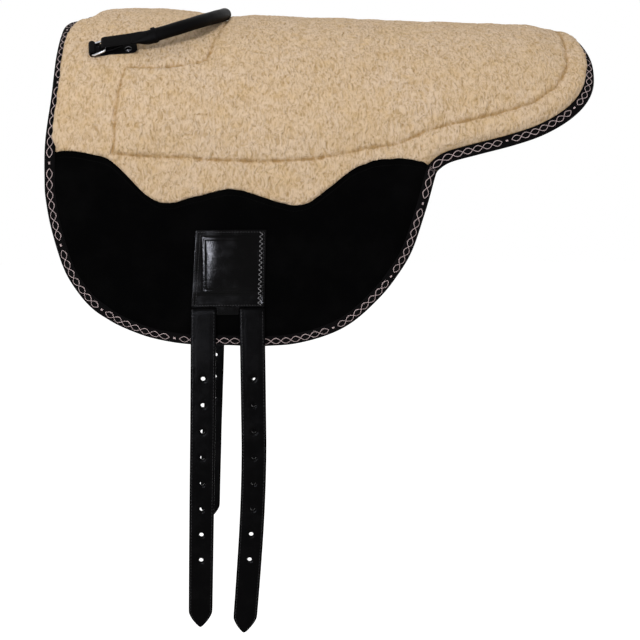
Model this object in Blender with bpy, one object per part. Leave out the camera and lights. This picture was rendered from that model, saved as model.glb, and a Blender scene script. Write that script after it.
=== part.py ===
"""Bareback pad: fleece seat, suede flaps, taped edge, girth billets and a rolled hand hold.

+X runs to the loin, -Y is the near (left) side and +Z is up.
The origin is the point of the lining that lies on the horse's back between the billets.

The soft layers are drawn as a flat pattern. A pattern point has x along the back, v across it
(positive down the left side) and h, its height above the horse. The drape function lays the
pattern over the back, and every layer is cut along the same fold lines, so that the layers lie on
each other with an even gap.
"""

import math

import bmesh
import bpy
from mathutils import Matrix, Vector
from mathutils.geometry import delaunay_2d_cdt

# The back that the pad is shaped to
BACK_RADIUS = 0.198
FOLDS_PER_SIDE = 7
WITHERS_RISE = 0.013
LOIN_FALL = 0.0185

# Reach of the pad from the origin, along the pattern
FRONT_REACH = 0.218
FLAP_REAR = 0.251
REAR_REACH = 0.455
FLAP_DROP = 0.498
LOIN_DROP = 0.269

# Seat seam
SEAT_FRONT = 0.1365
SEAT_REAR = 0.424
SEAT_DROP = 0.274

# Layers and edge
GAP = 0.0003
WELD_REACH = 0.00001
PATTERN_WELD = 0.0001
SAME_CORNER = 1e-9
SHARP_ANGLE = math.radians(35)
LINING_THICKNESS = 0.0015
FOAM_THICKNESS = 0.0062
FOAM_EDGE_THICKNESS = 0.0022
FLEECE_THICKNESS = 0.005
FLEECE_EDGE_THICKNESS = 0.0015
FLEECE_SEAM_THICKNESS = 0.003
SEAT_FLEECE_THICKNESS = 0.0068
SEAT_FOAM_THICKNESS = 0.006
SEAT_FOAM_EDGE_THICKNESS = 0.0005
SUEDE_THICKNESS = 0.0015
TAPE_THICKNESS = 0.0012
TAPE_LIP = 0.013
TAPE_CLEARANCE = 0.0005
EDGE_SHOULDER = 0.0105
SEAM_PRESS = 0.006
SEAT_FOAM_INSET = 0.008
SEAT_CROWN_INSET = 0.036
PANEL_JOINT = 0.0008

# Girth webbing and the leather behind each plate, let into the foam
WEBBING_WIDTH = 0.048
BACKING_MARGIN = 0.001
INLAY_THICKNESS = 0.0021
INLAY_SLACK = 0.0015
INLAY_JOINT = 0.0006

# Billet plate
PLATE_TOP_WIDTH = 0.085
PLATE_BOTTOM_WIDTH = 0.0885
PLATE_TOP_DROP = 0.2368
PLATE_HEIGHT = 0.0943
PLATE_TOP_OFFSET = 0.0032
PLATE_BOTTOM_OFFSET = -0.0017
PLATE_THICKNESS = 0.0025
PLATE_CORNER = 0.004
FIELD_WIDTH = 0.067
FIELD_HEIGHT = 0.0715
FIELD_TOP_MARGIN = 0.006
FIELD_OFFSET = 0.0005
FIELD_THICKNESS = 0.0015

# Billets
BILLET_WIDTH = 0.03
BILLET_THICKNESS = 0.0035
FRONT_BILLET_X = -0.031
REAR_BILLET_X = 0.0276
FRONT_BILLET_LENGTH = 0.407
REAR_BILLET_LENGTH = 0.4155
BILLET_POINT = 0.02
FRONT_BILLET_SWAY = -0.0095
REAR_BILLET_SWAY = -0.0135
HOLE_COUNT = 8
HOLE_RADIUS = 0.00275
FIRST_HOLE = 0.0873
HOLE_PITCH = 0.033
HOLE_SIDES = 10
ROOT_ROUND_SHARE = 0.98
ROOT_SEGMENTS = 4
ROOT_ARC_SHARE = 0.5

# Hand hold fittings
TAB_WIDTH = 0.0205
STRAP_WIDTH = 0.0185
TAB_LENGTH = 0.054
TAB_SET = 0.055
TAB_DROP = 0.1365
STRAP_THICKNESS = 0.0022
RING_WIRE_RADIUS = 0.002
RING_DEPTH = 0.016
RING_CORNER = 0.003
RING_SLACK = 0.001
RING_RESOLUTION = 1
FOLD_LENGTH = 0.022
FOLD_STEP = 0.0015
STRAP_LIFT = 0.0018
NECK_RUN = 0.069
NECK_DROP_RUN = 0.016
NECK_LEVEL_RUN = 0.004
NECK_REACH = 0.002
NECK_WIDTH = 0.016
EYE_SIDES = 14
RIVET_RADIUS = 0.0042
RIVET_HEIGHT = 0.0022
RIVET_SHANK_RADIUS = 0.0012
RIVET_RUN = 0.0434
RIVET_DROP = 0.005
RIVET_STEPS = 12

# Rolled grip
GRIP_RADIUS = 0.0083
GRIP_BORE_RADIUS = 0.0046
CORE_RADIUS = 0.0043
GRIP_SEAT_GAP = 0.0005
GRIP_RUN = 0.0872
GRIP_STEPS = 16
GRIP_RESOLUTION = 2
KEEPER_START = 0.009
KEEPER_LENGTH = 0.006
KEEPER_THICKNESS = 0.0012
KEEPER_SLACK = 0.0006
KEEPER_STEPS = 12

# Back line: share of the reach to the front or the rear, share of the withers' rise or loin's fall
WITHERS_LINE_SHARES = ((-1.2, 0.0), (-0.826, 0.615), (-0.505, 1.0), (-0.245, 0.64), (0, 0))
LOIN_LINE_SHARES = ((0, 0), (0.132, 0.324), (0.33, 0.54), (0.55, 0.73), (0.86, 1.0), (1.2, 1.0))

# Edge of the left half from the ridge over the flap to its rear corner: shares of reach and drop
FLAP_EDGE_SHARES = (
    (-0.84, 0.0), (-0.86, 0.05), (-0.935, 0.115), (-0.955, 0.22), (-0.968, 0.385), (-0.99, 0.49),
    (-1.0, 0.58), (-0.992, 0.65), (-0.945, 0.755), (-0.839, 0.865), (-0.711, 0.93), (-0.555, 0.975),
    (-0.3, 1.0), (0.0, 0.989), (0.25, 0.975), (0.48, 0.945), (0.61, 0.909), (0.73, 0.85),
    (0.82, 0.79), (0.9, 0.705), (0.955, 0.62), (1.0, 0.54),
)
# Edge of the loin from the flap's corner back to the ridge: shares past the flap, of the loin's drop
LOIN_EDGE_SHARES = (
    (0.078, 0.959), (0.47, 0.87), (0.7, 0.8), (0.83, 0.725), (0.93, 0.64), (0.99, 0.524),
    (1.0, 0.44), (0.985, 0.29), (0.95, 0.11), (0.94, 0.0),
)
# Wavy top edge of the suede
WAVE_SHARES = (
    (-1.06, 0.524), (-0.876, 0.525), (-0.66, 0.553), (-0.596, 0.574), (-0.44, 0.6415),
    (-0.367, 0.6585), (-0.284, 0.656), (-0.076, 0.6165), (0.04, 0.606), (0.247, 0.627),
    (0.315, 0.632), (0.38, 0.626), (0.586, 0.545), (0.71, 0.52), (0.954, 0.524), (1.0, 0.531),
    (1.06, 0.58),
)
# Seat seam of the left half from the ridge in front to the ridge at the loin
SEAM_SHARES = (
    (0.0, 0.0), (-0.03, 0.22), (-0.165, 0.49), (-0.235, 0.545), (-0.49, 0.592), (-0.85, 0.604),
    (-0.915, 0.64), (-0.975, 0.82), (-1.0, 0.965), (-0.94, 0.995), (-0.535, 1.0), (0.007, 0.982),
    (0.23, 0.953), (0.45, 0.883), (0.58, 0.807), (0.85, 0.683), (0.93, 0.607), (0.983, 0.487),
    (1.0, 0.25), (1.0, 0.0),
)
# Billet outline: share of the length down, share of the half width
BILLET_SIDE_SHARES = ((0.0, 1.0), (0.2, 1.0), (0.4, 1.0), (0.6, 0.97), (0.8, 0.95))
# Billet point: share of the point's height, share of the half width
BILLET_POINT_SHARES = ((0.0, 0.93), (0.4, 0.82), (0.75, 0.48), (0.95, 0.16))
# Sideways drift of the billets: share of the length down, share of the sway
FRONT_SWAY_SHARES = ((0.0, 0.0), (1.0, 1.0))
REAR_SWAY_SHARES = ((0.0, 0.0), (0.3, -0.06), (0.45, -0.06), (0.62, 0.13), (0.8, 0.5), (1.0, 1.0))
# Dome of the rivet: share of its radius, share of its height
RIVET_DOME_SHARES = ((1.0, 0.0), (0.94, 0.45), (0.62, 0.85), (0.0, 1.0))
# Rounded end of the grip: share of its radius before the hinge, share of its radius across
GRIP_END_SHARES = ((0.77, 0.64), (0.5, 0.864))

FOLD_PITCH = BACK_RADIUS * math.radians(90) / FOLDS_PER_SIDE
ARC_REACH = FOLD_PITCH * FOLDS_PER_SIDE
# The webbing ends level with the plate's top edge, and its backing lies behind the plate
TAB_X = TAB_SET - FRONT_REACH
NECK_X = TAB_X + NECK_RUN
GRIP_APEX_X = NECK_X + GRIP_RUN
WEBBING_REACH = ARC_REACH + PLATE_TOP_DROP - BACK_RADIUS
BACKING_WIDTH = PLATE_TOP_WIDTH - 2 * BACKING_MARGIN
BACKING_HEIGHT = PLATE_HEIGHT - 2 * BACKING_MARGIN

# Heights of the layers above the horse
FOAM_LOW = LINING_THICKNESS + GAP
FOAM_TOP = FOAM_LOW + FOAM_THICKNESS
COVER_LOW = FOAM_TOP + GAP
SUEDE_TOP = COVER_LOW + SUEDE_THICKNESS
FLEECE_TOP = COVER_LOW + FLEECE_THICKNESS
EDGE_TOP = FOAM_LOW + FOAM_EDGE_THICKNESS + GAP + FLEECE_EDGE_THICKNESS
BODY_INSET = TAPE_THICKNESS + GAP
BAND_INSET = TAPE_LIP + TAPE_CLEARANCE
SHOULDER_INSET = BAND_INSET + EDGE_SHOULDER

FLEECE = ("fleece", (0.56, 0.41, 0.26), 0.95, 0.0)
FOAM = ("foam", (0.25, 0.25, 0.24), 0.9, 0.0)
LINING = ("lining_cloth", (0.02, 0.02, 0.02), 0.9, 0.0)
SUEDE = ("suede", (0.004, 0.004, 0.004), 0.95, 0.0)
TAPE = ("woven_tape", (0.008, 0.007, 0.007), 0.8, 0.0)
LEATHER = ("black_leather", (0.006, 0.006, 0.007), 0.35, 0.0)
WEBBING = ("webbing", (0.02, 0.02, 0.022), 0.8, 0.0)
ROPE = ("rope", (0.4, 0.35, 0.27), 0.9, 0.0)
CHROME = ("chrome", (0.6, 0.6, 0.6), 0.12, 1.0)


def clear_scene():
    """Remove every object, so that the model starts from an empty scene."""
    for item in list(bpy.data.objects):
        bpy.data.objects.remove(item, do_unlink=True)


def new_collection(name):
    """Make a collection in the scene."""
    collection = bpy.data.collections.new(name)
    bpy.context.scene.collection.children.link(collection)
    return collection


def give_material(item, finish):
    """Give an object its own Principled material."""
    name, colour, roughness, metallic = finish
    material = bpy.data.materials.new(f"{item.name}_{name}")
    material.use_nodes = True
    shader = material.node_tree.nodes["Principled BSDF"]
    shader.inputs["Base Color"].default_value = (*colour, 1.0)
    shader.inputs["Roughness"].default_value = roughness
    shader.inputs["Metallic"].default_value = metallic
    item.data.materials.clear()
    item.data.materials.append(material)


def add_object(name, mesh, collection, finish):
    """Put a mesh in the scene as a named sub-part."""
    item = bpy.data.objects.new(name, mesh)
    mesh.name = name
    collection.objects.link(item)
    give_material(item, finish)
    return item


def mesh_from(bm, name):
    """Close a bmesh into a mesh with its faces pointing out, smooth between its sharp edges."""
    bmesh.ops.recalc_face_normals(bm, faces=bm.faces[:])
    mesh = bpy.data.meshes.new(name)
    bm.to_mesh(mesh)
    bm.free()
    mesh.shade_smooth()
    mesh.set_sharp_from_angle(angle=SHARP_ANGLE)
    return mesh


def subtract(item, cutter_mesh, cutters, name):
    """Cut one mesh out of an object, keeping the cutter as a guide."""
    cutter = bpy.data.objects.new(name, cutter_mesh)
    cutters.objects.link(cutter)
    cutter.hide_render = True
    cutter.display_type = "WIRE"
    cut = item.modifiers.new(name, "BOOLEAN")
    cut.operation = "DIFFERENCE"
    cut.solver = "EXACT"
    cut.object = cutter


def between(knots, place):
    """Read a value from rising (place, value) knots, held level past the ends."""
    if place <= knots[0][0]:
        return knots[0][1]
    for (start, low), (end, high) in zip(knots, knots[1:]):
        if place <= end:
            return low + (high - low) * (place - start) / (end - start)
    return knots[-1][1]


BACK_LINE = [(share * FRONT_REACH, rise * WITHERS_RISE) for share, rise in WITHERS_LINE_SHARES[:-1]]
BACK_LINE += [(share * REAR_REACH, -fall * LOIN_FALL) for share, fall in LOIN_LINE_SHARES]


def drape(x, v, h):
    """Lay a pattern point over the back: straight facets between the folds, then a plumb side."""
    side = -1.0 if v >= 0 else 1.0
    reach = min(abs(v), ARC_REACH)
    fold = min(int(reach / FOLD_PITCH), FOLDS_PER_SIDE - 1)
    share = reach / FOLD_PITCH - fold
    radius = BACK_RADIUS + h
    low = math.radians(90) * fold / FOLDS_PER_SIDE
    high = math.radians(90) * (fold + 1) / FOLDS_PER_SIDE
    across = math.sin(low) * (1 - share) + math.sin(high) * share
    up = math.cos(low) * (1 - share) + math.cos(high) * share
    z = radius * up - BACK_RADIUS - (abs(v) - reach) + between(BACK_LINE, x)
    return Vector((x, side * radius * across, z))


def half_edge():
    """Points of the left half's edge, from the ridge in front to the ridge at the loin."""
    flap = [(a * (FRONT_REACH if a < 0 else FLAP_REAR), b * FLAP_DROP) for a, b in FLAP_EDGE_SHARES]
    run = REAR_REACH - FLAP_REAR
    loin = [(FLAP_REAR + a * run, b * LOIN_DROP) for a, b in LOIN_EDGE_SHARES]
    return flap + loin


def half_seam():
    """Points of the seat seam's left half."""
    return [(a * (SEAT_FRONT if a < 0 else SEAT_REAR), b * SEAT_DROP) for a, b in SEAM_SHARES]


def both_halves(half):
    """Close a left half at the ridge with its mirror image."""
    return half + [(x, -v) for x, v in reversed(half[1:-1])]


def inset(loop, depth):
    """Move a closed loop inwards by an even depth, with mitred corners."""
    area = sum(a[0] * b[1] - b[0] * a[1] for a, b in zip(loop, loop[1:] + loop[:1]))
    turn = 1.0 if area > 0 else -1.0
    moved = []
    for before, here, after in zip(loop[-1:] + loop[:-1], loop, loop[1:] + loop[:1]):
        back = (Vector(here) - Vector(before)).normalized()
        ahead = (Vector(after) - Vector(here)).normalized()
        normal_back = Vector((-back.y, back.x)) * turn
        normal_ahead = Vector((-ahead.y, ahead.x)) * turn
        mitre = normal_back + normal_ahead
        corner = Vector(here) + mitre * (depth * 2 / mitre.length_squared)
        moved.append((corner.x, corner.y))
    return moved


def distance_inside(loop, x, v):
    """Depth of a pattern point within a loop's mitred insets, negative outside the loop."""
    nearest = math.inf
    depth = 0.0
    inside = False
    for (ax, av), (bx, bv) in zip(loop, loop[1:] + loop[:1]):
        run_x = bx - ax
        run_v = bv - av
        length = math.hypot(run_x, run_v)
        along = ((x - ax) * run_x + (v - av) * run_v) / (length * length)
        clamped = min(max(along, 0.0), 1.0)
        away = math.hypot(x - ax - clamped * run_x, v - av - clamped * run_v)
        off_line = abs((x - ax) * run_v - (v - av) * run_x) / length
        if away < nearest - SAME_CORNER:
            nearest = away
            depth = off_line
        elif away < nearest + SAME_CORNER:
            depth = max(depth, off_line)
        if (av > v) != (bv > v) and x < ax + run_x * (v - av) / run_v:
            inside = not inside
    return depth if inside else -depth


EDGE = both_halves(half_edge())
SEAM = both_halves(half_seam())
BODY = inset(EDGE, BODY_INSET)
WAVE = [(a * (FRONT_REACH if a < 0 else FLAP_REAR), b * FLAP_DROP) for a, b in WAVE_SHARES]


def wave_line(side, shift):
    """The suede's top edge on one side as pattern points, moved away from the ridge by shift."""
    return [(x, side * (v + shift)) for x, v in WAVE]


def past_wave(x, v):
    """How far a pattern point lies past the suede's top edge, away from the ridge."""
    return abs(v) - between(WAVE, x)


def inlay_loop(slack):
    """Outline of the webbing and its two backings, grown by a slack."""
    web = WEBBING_WIDTH / 2 + slack
    back = BACKING_WIDTH / 2 + slack
    neck = WEBBING_REACH - slack
    foot = WEBBING_REACH + BACKING_HEIGHT + slack
    quarter = [(web, 0.0), (web, neck), (back, neck), (back, foot)]
    near = quarter + [(-x, v) for x, v in reversed(quarter)]
    return near + [(x, -v) for x, v in reversed(near[1:-1])]


INLAY_FLOOR = inlay_loop(GAP)
INLAY_RIM = inlay_loop(GAP + INLAY_SLACK)


def foam_top(x, v):
    """Top of the foam: thin under the tape, full past the shoulder."""
    edge = FOAM_LOW + FOAM_EDGE_THICKNESS
    knots = ((BAND_INSET, edge), (SHOULDER_INSET, FOAM_TOP))
    return between(knots, distance_inside(EDGE, x, v))


def foam_face(x, v):
    """Top of the foam with the channel for the webbing."""
    floor = FOAM_TOP - INLAY_THICKNESS - GAP
    share = between(((0.0, 0.0), (INLAY_SLACK, 1.0)), -distance_inside(INLAY_FLOOR, x, v))
    return floor + (foam_top(x, v) - floor) * share


def seat_foam_top(x, v):
    """Top of the seat's extra foam, from a thin edge to its crown."""
    knots = ((SEAT_FOAM_INSET, SEAT_FOAM_EDGE_THICKNESS), (SEAT_CROWN_INSET, SEAT_FOAM_THICKNESS))
    return COVER_LOW + between(knots, distance_inside(SEAM, x, v))


def cover_low(x, v):
    """Underside of the fleece: on the foam, and over the seat foam inside the seam."""
    knots = (
        (0.0, 0.0),
        (SEAT_FOAM_INSET, SEAT_FOAM_EDGE_THICKNESS + GAP),
        (SEAT_CROWN_INSET, SEAT_FOAM_THICKNESS + GAP),
    )
    return foam_top(x, v) + GAP + between(knots, distance_inside(SEAM, x, v))


def fleece_top(x, v):
    """Top of the fleece: pressed under the tape and at the seam, full elsewhere."""
    by_edge = between(
        ((BAND_INSET, FLEECE_EDGE_THICKNESS), (SHOULDER_INSET, FLEECE_THICKNESS)),
        distance_inside(EDGE, x, v),
    )
    by_seam = between(
        (
            (-SEAM_PRESS, FLEECE_THICKNESS),
            (0.0, FLEECE_SEAM_THICKNESS),
            (SEAT_FOAM_INSET, SEAT_FLEECE_THICKNESS),
        ),
        distance_inside(SEAM, x, v),
    )
    pressed = min(by_edge, FLEECE_THICKNESS) / FLEECE_THICKNESS
    return cover_low(x, v) + by_seam * pressed


def suede_low(x, v):
    """Underside of the suede, on the foam."""
    return foam_top(x, v) + GAP


def suede_top(x, v):
    """Top of the suede."""
    return foam_top(x, v) + GAP + SUEDE_THICKNESS


def level(height):
    """A layer face at one height all over."""
    return lambda x, v: height


def fold_lines():
    """Pattern lines along which every layer bends."""
    reach_x = FRONT_REACH + REAR_REACH
    lines = [((x, -2 * FLAP_DROP), (x, 2 * FLAP_DROP)) for x, _rise in BACK_LINE[1:-1]]
    for fold in range(-FOLDS_PER_SIDE, FOLDS_PER_SIDE + 1):
        lines.append(((-reach_x, fold * FOLD_PITCH), (reach_x, fold * FOLD_PITCH)))
    return lines


def draped_layer(name, loops, runs, keep, low, high):
    """A closed layer over the kept part of the pattern, between two faces of the pad."""
    points = []
    edges = []
    for loop in loops:
        start = len(points)
        points += [Vector(p) for p in loop]
        edges += [(start + i, start + (i + 1) % len(loop)) for i in range(len(loop))]
    for run in list(runs) + fold_lines():
        start = len(points)
        points += [Vector(p) for p in run]
        edges += [(start + i, start + i + 1) for i in range(len(run) - 1)]
    corners, _edges, faces, *_origins = delaunay_2d_cdt(points, edges, [], 0, PATTERN_WELD)
    bm = bmesh.new()
    skin = {}
    for face in faces:
        x = sum(corners[i].x for i in face) / len(face)
        v = sum(corners[i].y for i in face) / len(face)
        if not keep(x, v):
            continue
        for i in face:
            if i not in skin:
                skin[i] = bm.verts.new((corners[i].x, corners[i].y, 0))
        bm.faces.new([skin[i] for i in face])
    under = bm.verts[:]
    raised = bmesh.ops.extrude_face_region(bm, geom=bm.faces[:])
    over = [part for part in raised["geom"] if isinstance(part, bmesh.types.BMVert)]
    for verts, face in ((under, low), (over, high)):
        for vert in verts:
            vert.co = drape(vert.co.x, vert.co.y, face(vert.co.x, vert.co.y))
    return mesh_from(bm, name)


def in_body(x, v):
    """Whether a pattern point is inside the pad's body."""
    return distance_inside(BODY, x, v) > 0


def in_fleece(x, v):
    """Whether a pattern point is under the fleece."""
    return in_body(x, v) and past_wave(x, v) < -PANEL_JOINT / 2


def in_suede(side):
    """Whether a pattern point is in the suede panel of one side."""
    return lambda x, v: v * side > 0 and in_body(x, v) and past_wave(x, v) > PANEL_JOINT / 2


def in_seat_foam(x, v):
    """Whether a pattern point is over the seat's extra foam."""
    return distance_inside(SEAM, x, v) > SEAT_FOAM_INSET


def in_loop(loop):
    """Whether a pattern point is inside a loop."""
    return lambda x, v: distance_inside(loop, x, v) > 0


def make_soft_layers(parts, cutters):
    """Lining, foam, fleece, suede and the folded tape round the edge."""
    band = inset(EDGE, BAND_INSET)
    shoulder = inset(EDGE, SHOULDER_INSET)
    mesh = draped_layer("lining", [BODY], [], in_body, level(0.0), level(LINING_THICKNESS))
    add_object("lining", mesh, parts, LINING)

    loops = [BODY, band, shoulder, INLAY_FLOOR, INLAY_RIM]
    mesh = draped_layer("foam_core", loops, [], in_body, level(FOAM_LOW), foam_face)
    add_object("foam_core", mesh, parts, FOAM)

    seat = [inset(SEAM, SEAT_FOAM_INSET), inset(SEAM, SEAT_CROWN_INSET)]
    mesh = draped_layer("seat_foam", seat, [], in_seat_foam, level(COVER_LOW), seat_foam_top)
    add_object("seat_foam", mesh, parts, FOAM)

    joint = PANEL_JOINT / 2
    loops = [BODY, band, shoulder, SEAM, inset(SEAM, -SEAM_PRESS)] + seat
    waves = [wave_line(1, -joint), wave_line(-1, -joint)]
    mesh = draped_layer("fleece_cover", loops, waves, in_fleece, cover_low, fleece_top)
    add_object("fleece_cover", mesh, parts, FLEECE)

    for name, side in (("suede_panel_left", 1), ("suede_panel_right", -1)):
        wave = [wave_line(side, joint)]
        mesh = draped_layer(name, [BODY, band, shoulder], wave, in_suede(side), suede_low, suede_top)
        add_object(name, mesh, parts, SUEDE)

    lip = inset(EDGE, TAPE_LIP)
    low = -GAP - TAPE_THICKNESS
    high = EDGE_TOP + GAP + TAPE_THICKNESS

    def in_tape(x, v):
        return 0 < distance_inside(EDGE, x, v) < TAPE_LIP

    mesh = draped_layer("edge_binding", [EDGE, lip], [], in_tape, level(low), level(high))
    tape = add_object("edge_binding", mesh, parts, TAPE)
    fold = inset(EDGE, TAPE_THICKNESS)
    past_lip = inset(EDGE, BAND_INSET)

    def in_pocket(x, v):
        return TAPE_THICKNESS < distance_inside(EDGE, x, v) < BAND_INSET

    pocket = draped_layer(
        "tape_pocket", [fold, past_lip], [], in_pocket, level(-GAP), level(EDGE_TOP + GAP)
    )
    subtract(tape, pocket, cutters, "tape_pocket")


def make_inlay(parts):
    """The girth webbing over the back and the leather that it is sewn to behind each plate."""
    low = FOAM_TOP - INLAY_THICKNESS
    half = WEBBING_WIDTH / 2
    reach = WEBBING_REACH - INLAY_JOINT
    loop = [(half, -reach), (half, reach), (-half, reach), (-half, -reach)]
    mesh = draped_layer("billet_webbing", [loop], [], in_loop(loop), level(low), level(FOAM_TOP))
    add_object("billet_webbing", mesh, parts, WEBBING)
    half = BACKING_WIDTH / 2
    foot = WEBBING_REACH + BACKING_HEIGHT
    for name, side in (("billet_backing_left", 1), ("billet_backing_right", -1)):
        top = side * WEBBING_REACH
        end = side * foot
        loop = [(half, top), (half, end), (-half, end), (-half, top)]
        mesh = draped_layer(name, [loop], [], in_loop(loop), level(low), level(FOAM_TOP))
        add_object(name, mesh, parts, LEATHER)


def flat_piece(name, outline, holes, thickness, place):
    """A filled outline with holes, given a thickness and set in place."""
    curve = bpy.data.curves.new(name, "CURVE")
    curve.dimensions = "2D"
    curve.fill_mode = "BOTH"
    curve.extrude = thickness / 2
    curve.render_resolution_u = 0
    for loop in [outline] + holes:
        spline = curve.splines.new("POLY")
        spline.points.add(len(loop) - 1)
        for point, (x, y) in zip(spline.points, loop):
            point.co = (x, y, 0, 1)
        spline.use_cyclic_u = True
    return curve_to_mesh(name, curve, place)


def curve_to_mesh(name, curve, place):
    """The evaluated mesh of a curve, its caps welded, moved by a matrix."""
    guide = bpy.data.objects.new(name, curve)
    bpy.context.scene.collection.objects.link(guide)
    graph = bpy.context.evaluated_depsgraph_get()
    graph.update()
    mesh = bpy.data.meshes.new_from_object(guide.evaluated_get(graph))
    bpy.data.objects.remove(guide, do_unlink=True)
    bpy.data.curves.remove(curve)
    mesh.transform(place)
    bm = bmesh.new()
    bm.from_mesh(mesh)
    bmesh.ops.remove_doubles(bm, verts=bm.verts[:], dist=WELD_REACH)
    bpy.data.meshes.remove(mesh)
    return mesh_from(bm, name)


def circle(x, y, radius, sides):
    """Points of a circle."""
    turn = math.radians(360) / sides
    return [(x + radius * math.cos(turn * i), y + radius * math.sin(turn * i)) for i in range(sides)]


def upright(side, height):
    """Matrix that stands an x, z outline on the pad's plumb side, at a height above the horse."""
    y = -side * (BACK_RADIUS + height)
    return Matrix.Translation((0, y, 0)) @ Matrix.Rotation(math.radians(90), 4, "X")


def rounded(corners, radius):
    """Cut the corners of an outline with two-step rounds."""
    points = []
    for before, here, after in zip(corners[-1:] + corners[:-1], corners, corners[1:] + corners[:1]):
        to_back = (Vector(before) - Vector(here)).normalized() * radius
        to_ahead = (Vector(after) - Vector(here)).normalized() * radius
        middle = Vector(here) + (to_back + to_ahead) * (1 - math.sqrt(0.5))
        for point in (Vector(here) + to_back, middle, Vector(here) + to_ahead):
            points.append((point.x, point.y))
    return points


def make_plates(parts):
    """The leather plate on each flap and the raised field on it."""
    top = -PLATE_TOP_DROP
    bottom = top - PLATE_HEIGHT
    plate = [
        (PLATE_BOTTOM_OFFSET - PLATE_BOTTOM_WIDTH / 2, bottom),
        (PLATE_BOTTOM_OFFSET + PLATE_BOTTOM_WIDTH / 2, bottom),
        (PLATE_TOP_OFFSET + PLATE_TOP_WIDTH / 2, top),
        (PLATE_TOP_OFFSET - PLATE_TOP_WIDTH / 2, top),
    ]
    left = FIELD_OFFSET - FIELD_WIDTH / 2
    high = top - FIELD_TOP_MARGIN
    field = [
        (left, high - FIELD_HEIGHT), (left + FIELD_WIDTH, high - FIELD_HEIGHT),
        (left + FIELD_WIDTH, high), (left, high),
    ]
    plate_low = SUEDE_TOP + GAP
    field_low = plate_low + PLATE_THICKNESS + GAP
    for name, side in (("left", 1), ("right", -1)):
        place = upright(side, plate_low + PLATE_THICKNESS / 2)
        mesh = flat_piece(f"billet_plate_{name}", rounded(plate, PLATE_CORNER), [], PLATE_THICKNESS, place)
        add_object(f"billet_plate_{name}", mesh, parts, LEATHER)
        place = upright(side, field_low + FIELD_THICKNESS / 2)
        mesh = flat_piece(f"plate_field_{name}", rounded(field, PLATE_CORNER), [], FIELD_THICKNESS, place)
        add_object(f"plate_field_{name}", mesh, parts, LEATHER)


def billet_outline(x, length, sway, sway_shares):
    """Outline and hole centres of a billet that hangs down from the plate."""
    top = -PLATE_TOP_DROP - PLATE_HEIGHT - GAP
    half = BILLET_WIDTH / 2
    straight = length - BILLET_POINT

    def centre(down):
        return x + sway * between(sway_shares, down / length)

    steps = [(share * straight, width * half) for share, width in BILLET_SIDE_SHARES]
    steps += [(straight + share * BILLET_POINT, width * half) for share, width in BILLET_POINT_SHARES]
    left = [(centre(down) - width, top - down) for down, width in steps]
    right = [(centre(down) + width, top - down) for down, width in reversed(steps)]
    outline = left + [(centre(length), top - length)] + right
    holes = []
    for index in range(HOLE_COUNT):
        down = FIRST_HOLE + index * HOLE_PITCH
        holes.append((centre(down), top - down))
    return outline, holes


def make_billets(parts):
    """Two punched billets a side, each with its root rounded about its hinge line."""
    height = SUEDE_TOP + GAP + BILLET_THICKNESS / 2
    kinds = (
        ("front", FRONT_BILLET_X, FRONT_BILLET_LENGTH, FRONT_BILLET_SWAY, FRONT_SWAY_SHARES),
        ("rear", REAR_BILLET_X, REAR_BILLET_LENGTH, REAR_BILLET_SWAY, REAR_SWAY_SHARES),
    )
    top = -PLATE_TOP_DROP - PLATE_HEIGHT - GAP
    for side_name, side in (("left", 1), ("right", -1)):
        for kind, x, length, sway, shares in kinds:
            name = f"billet_{side_name}_{kind}"
            outline, centres = billet_outline(x, length, sway, shares)
            holes = [circle(cx, cz, HOLE_RADIUS, HOLE_SIDES) for cx, cz in centres]
            mesh = flat_piece(name, outline, holes, BILLET_THICKNESS, upright(side, height))
            bm = bmesh.new()
            bm.from_mesh(mesh)
            root = [e for e in bm.edges if all(abs(v.co.z - top) < WELD_REACH for v in e.verts)]
            long_root = [e for e in root if e.calc_length() > BILLET_THICKNESS * 2]
            bmesh.ops.bevel(
                bm, geom=long_root, offset=BILLET_THICKNESS / 2 * ROOT_ROUND_SHARE,
                segments=ROOT_SEGMENTS, profile=ROOT_ARC_SHARE, affect="EDGES",
            )
            item = add_object(name, mesh_from(bm, name), parts, LEATHER)
            pivot = Vector((x, -side * (BACK_RADIUS + height), top - BILLET_THICKNESS / 2))
            item.data.transform(Matrix.Translation(-pivot))
            item.location = pivot


def tab_frame():
    """Matrix from the left tab's own axes (along, up the slope, off the fleece) to the pad."""
    origin = drape(TAB_X, TAB_DROP, FLEECE_TOP)
    along = (drape(TAB_X + TAB_LENGTH / 2, TAB_DROP, FLEECE_TOP) - origin).normalized()
    slope = origin - drape(TAB_X, TAB_DROP + TAB_WIDTH / 2, FLEECE_TOP)
    off = along.cross(slope).normalized()
    up_slope = off.cross(along)
    matrix = Matrix((along, up_slope, off)).transposed().to_4x4()
    matrix.translation = origin
    return matrix


EYE_BORE = RING_WIRE_RADIUS + GAP
EYE_OUTER = EYE_BORE + STRAP_THICKNESS
TAB_EYE_HEIGHT = GAP + EYE_OUTER
HANDLE_EYE_HEIGHT = GAP + STRAP_THICKNESS + GAP + EYE_OUTER + STRAP_LIFT
NECK_HEIGHT = HANDLE_EYE_HEIGHT + EYE_OUTER - STRAP_THICKNESS / 2


def arc(x, y, radius, start, end, steps):
    """Points on an arc, angles in degrees."""
    points = []
    for i in range(steps + 1):
        angle = math.radians(start + (end - start) * i / steps)
        points.append((x + radius * math.cos(angle), y + radius * math.sin(angle)))
    return points


def side_profile():
    """Matrix that turns an (along, off) outline so that its thickness runs up the slope."""
    return Matrix.Rotation(math.radians(90), 4, "X")


def narrow_neck(mesh, start):
    """Narrow the strap from a place on, where it runs under the rolled grip's end."""
    for vert in mesh.vertices:
        if vert.co.x > start - GAP:
            vert.co.y *= NECK_WIDTH / STRAP_WIDTH


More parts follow.
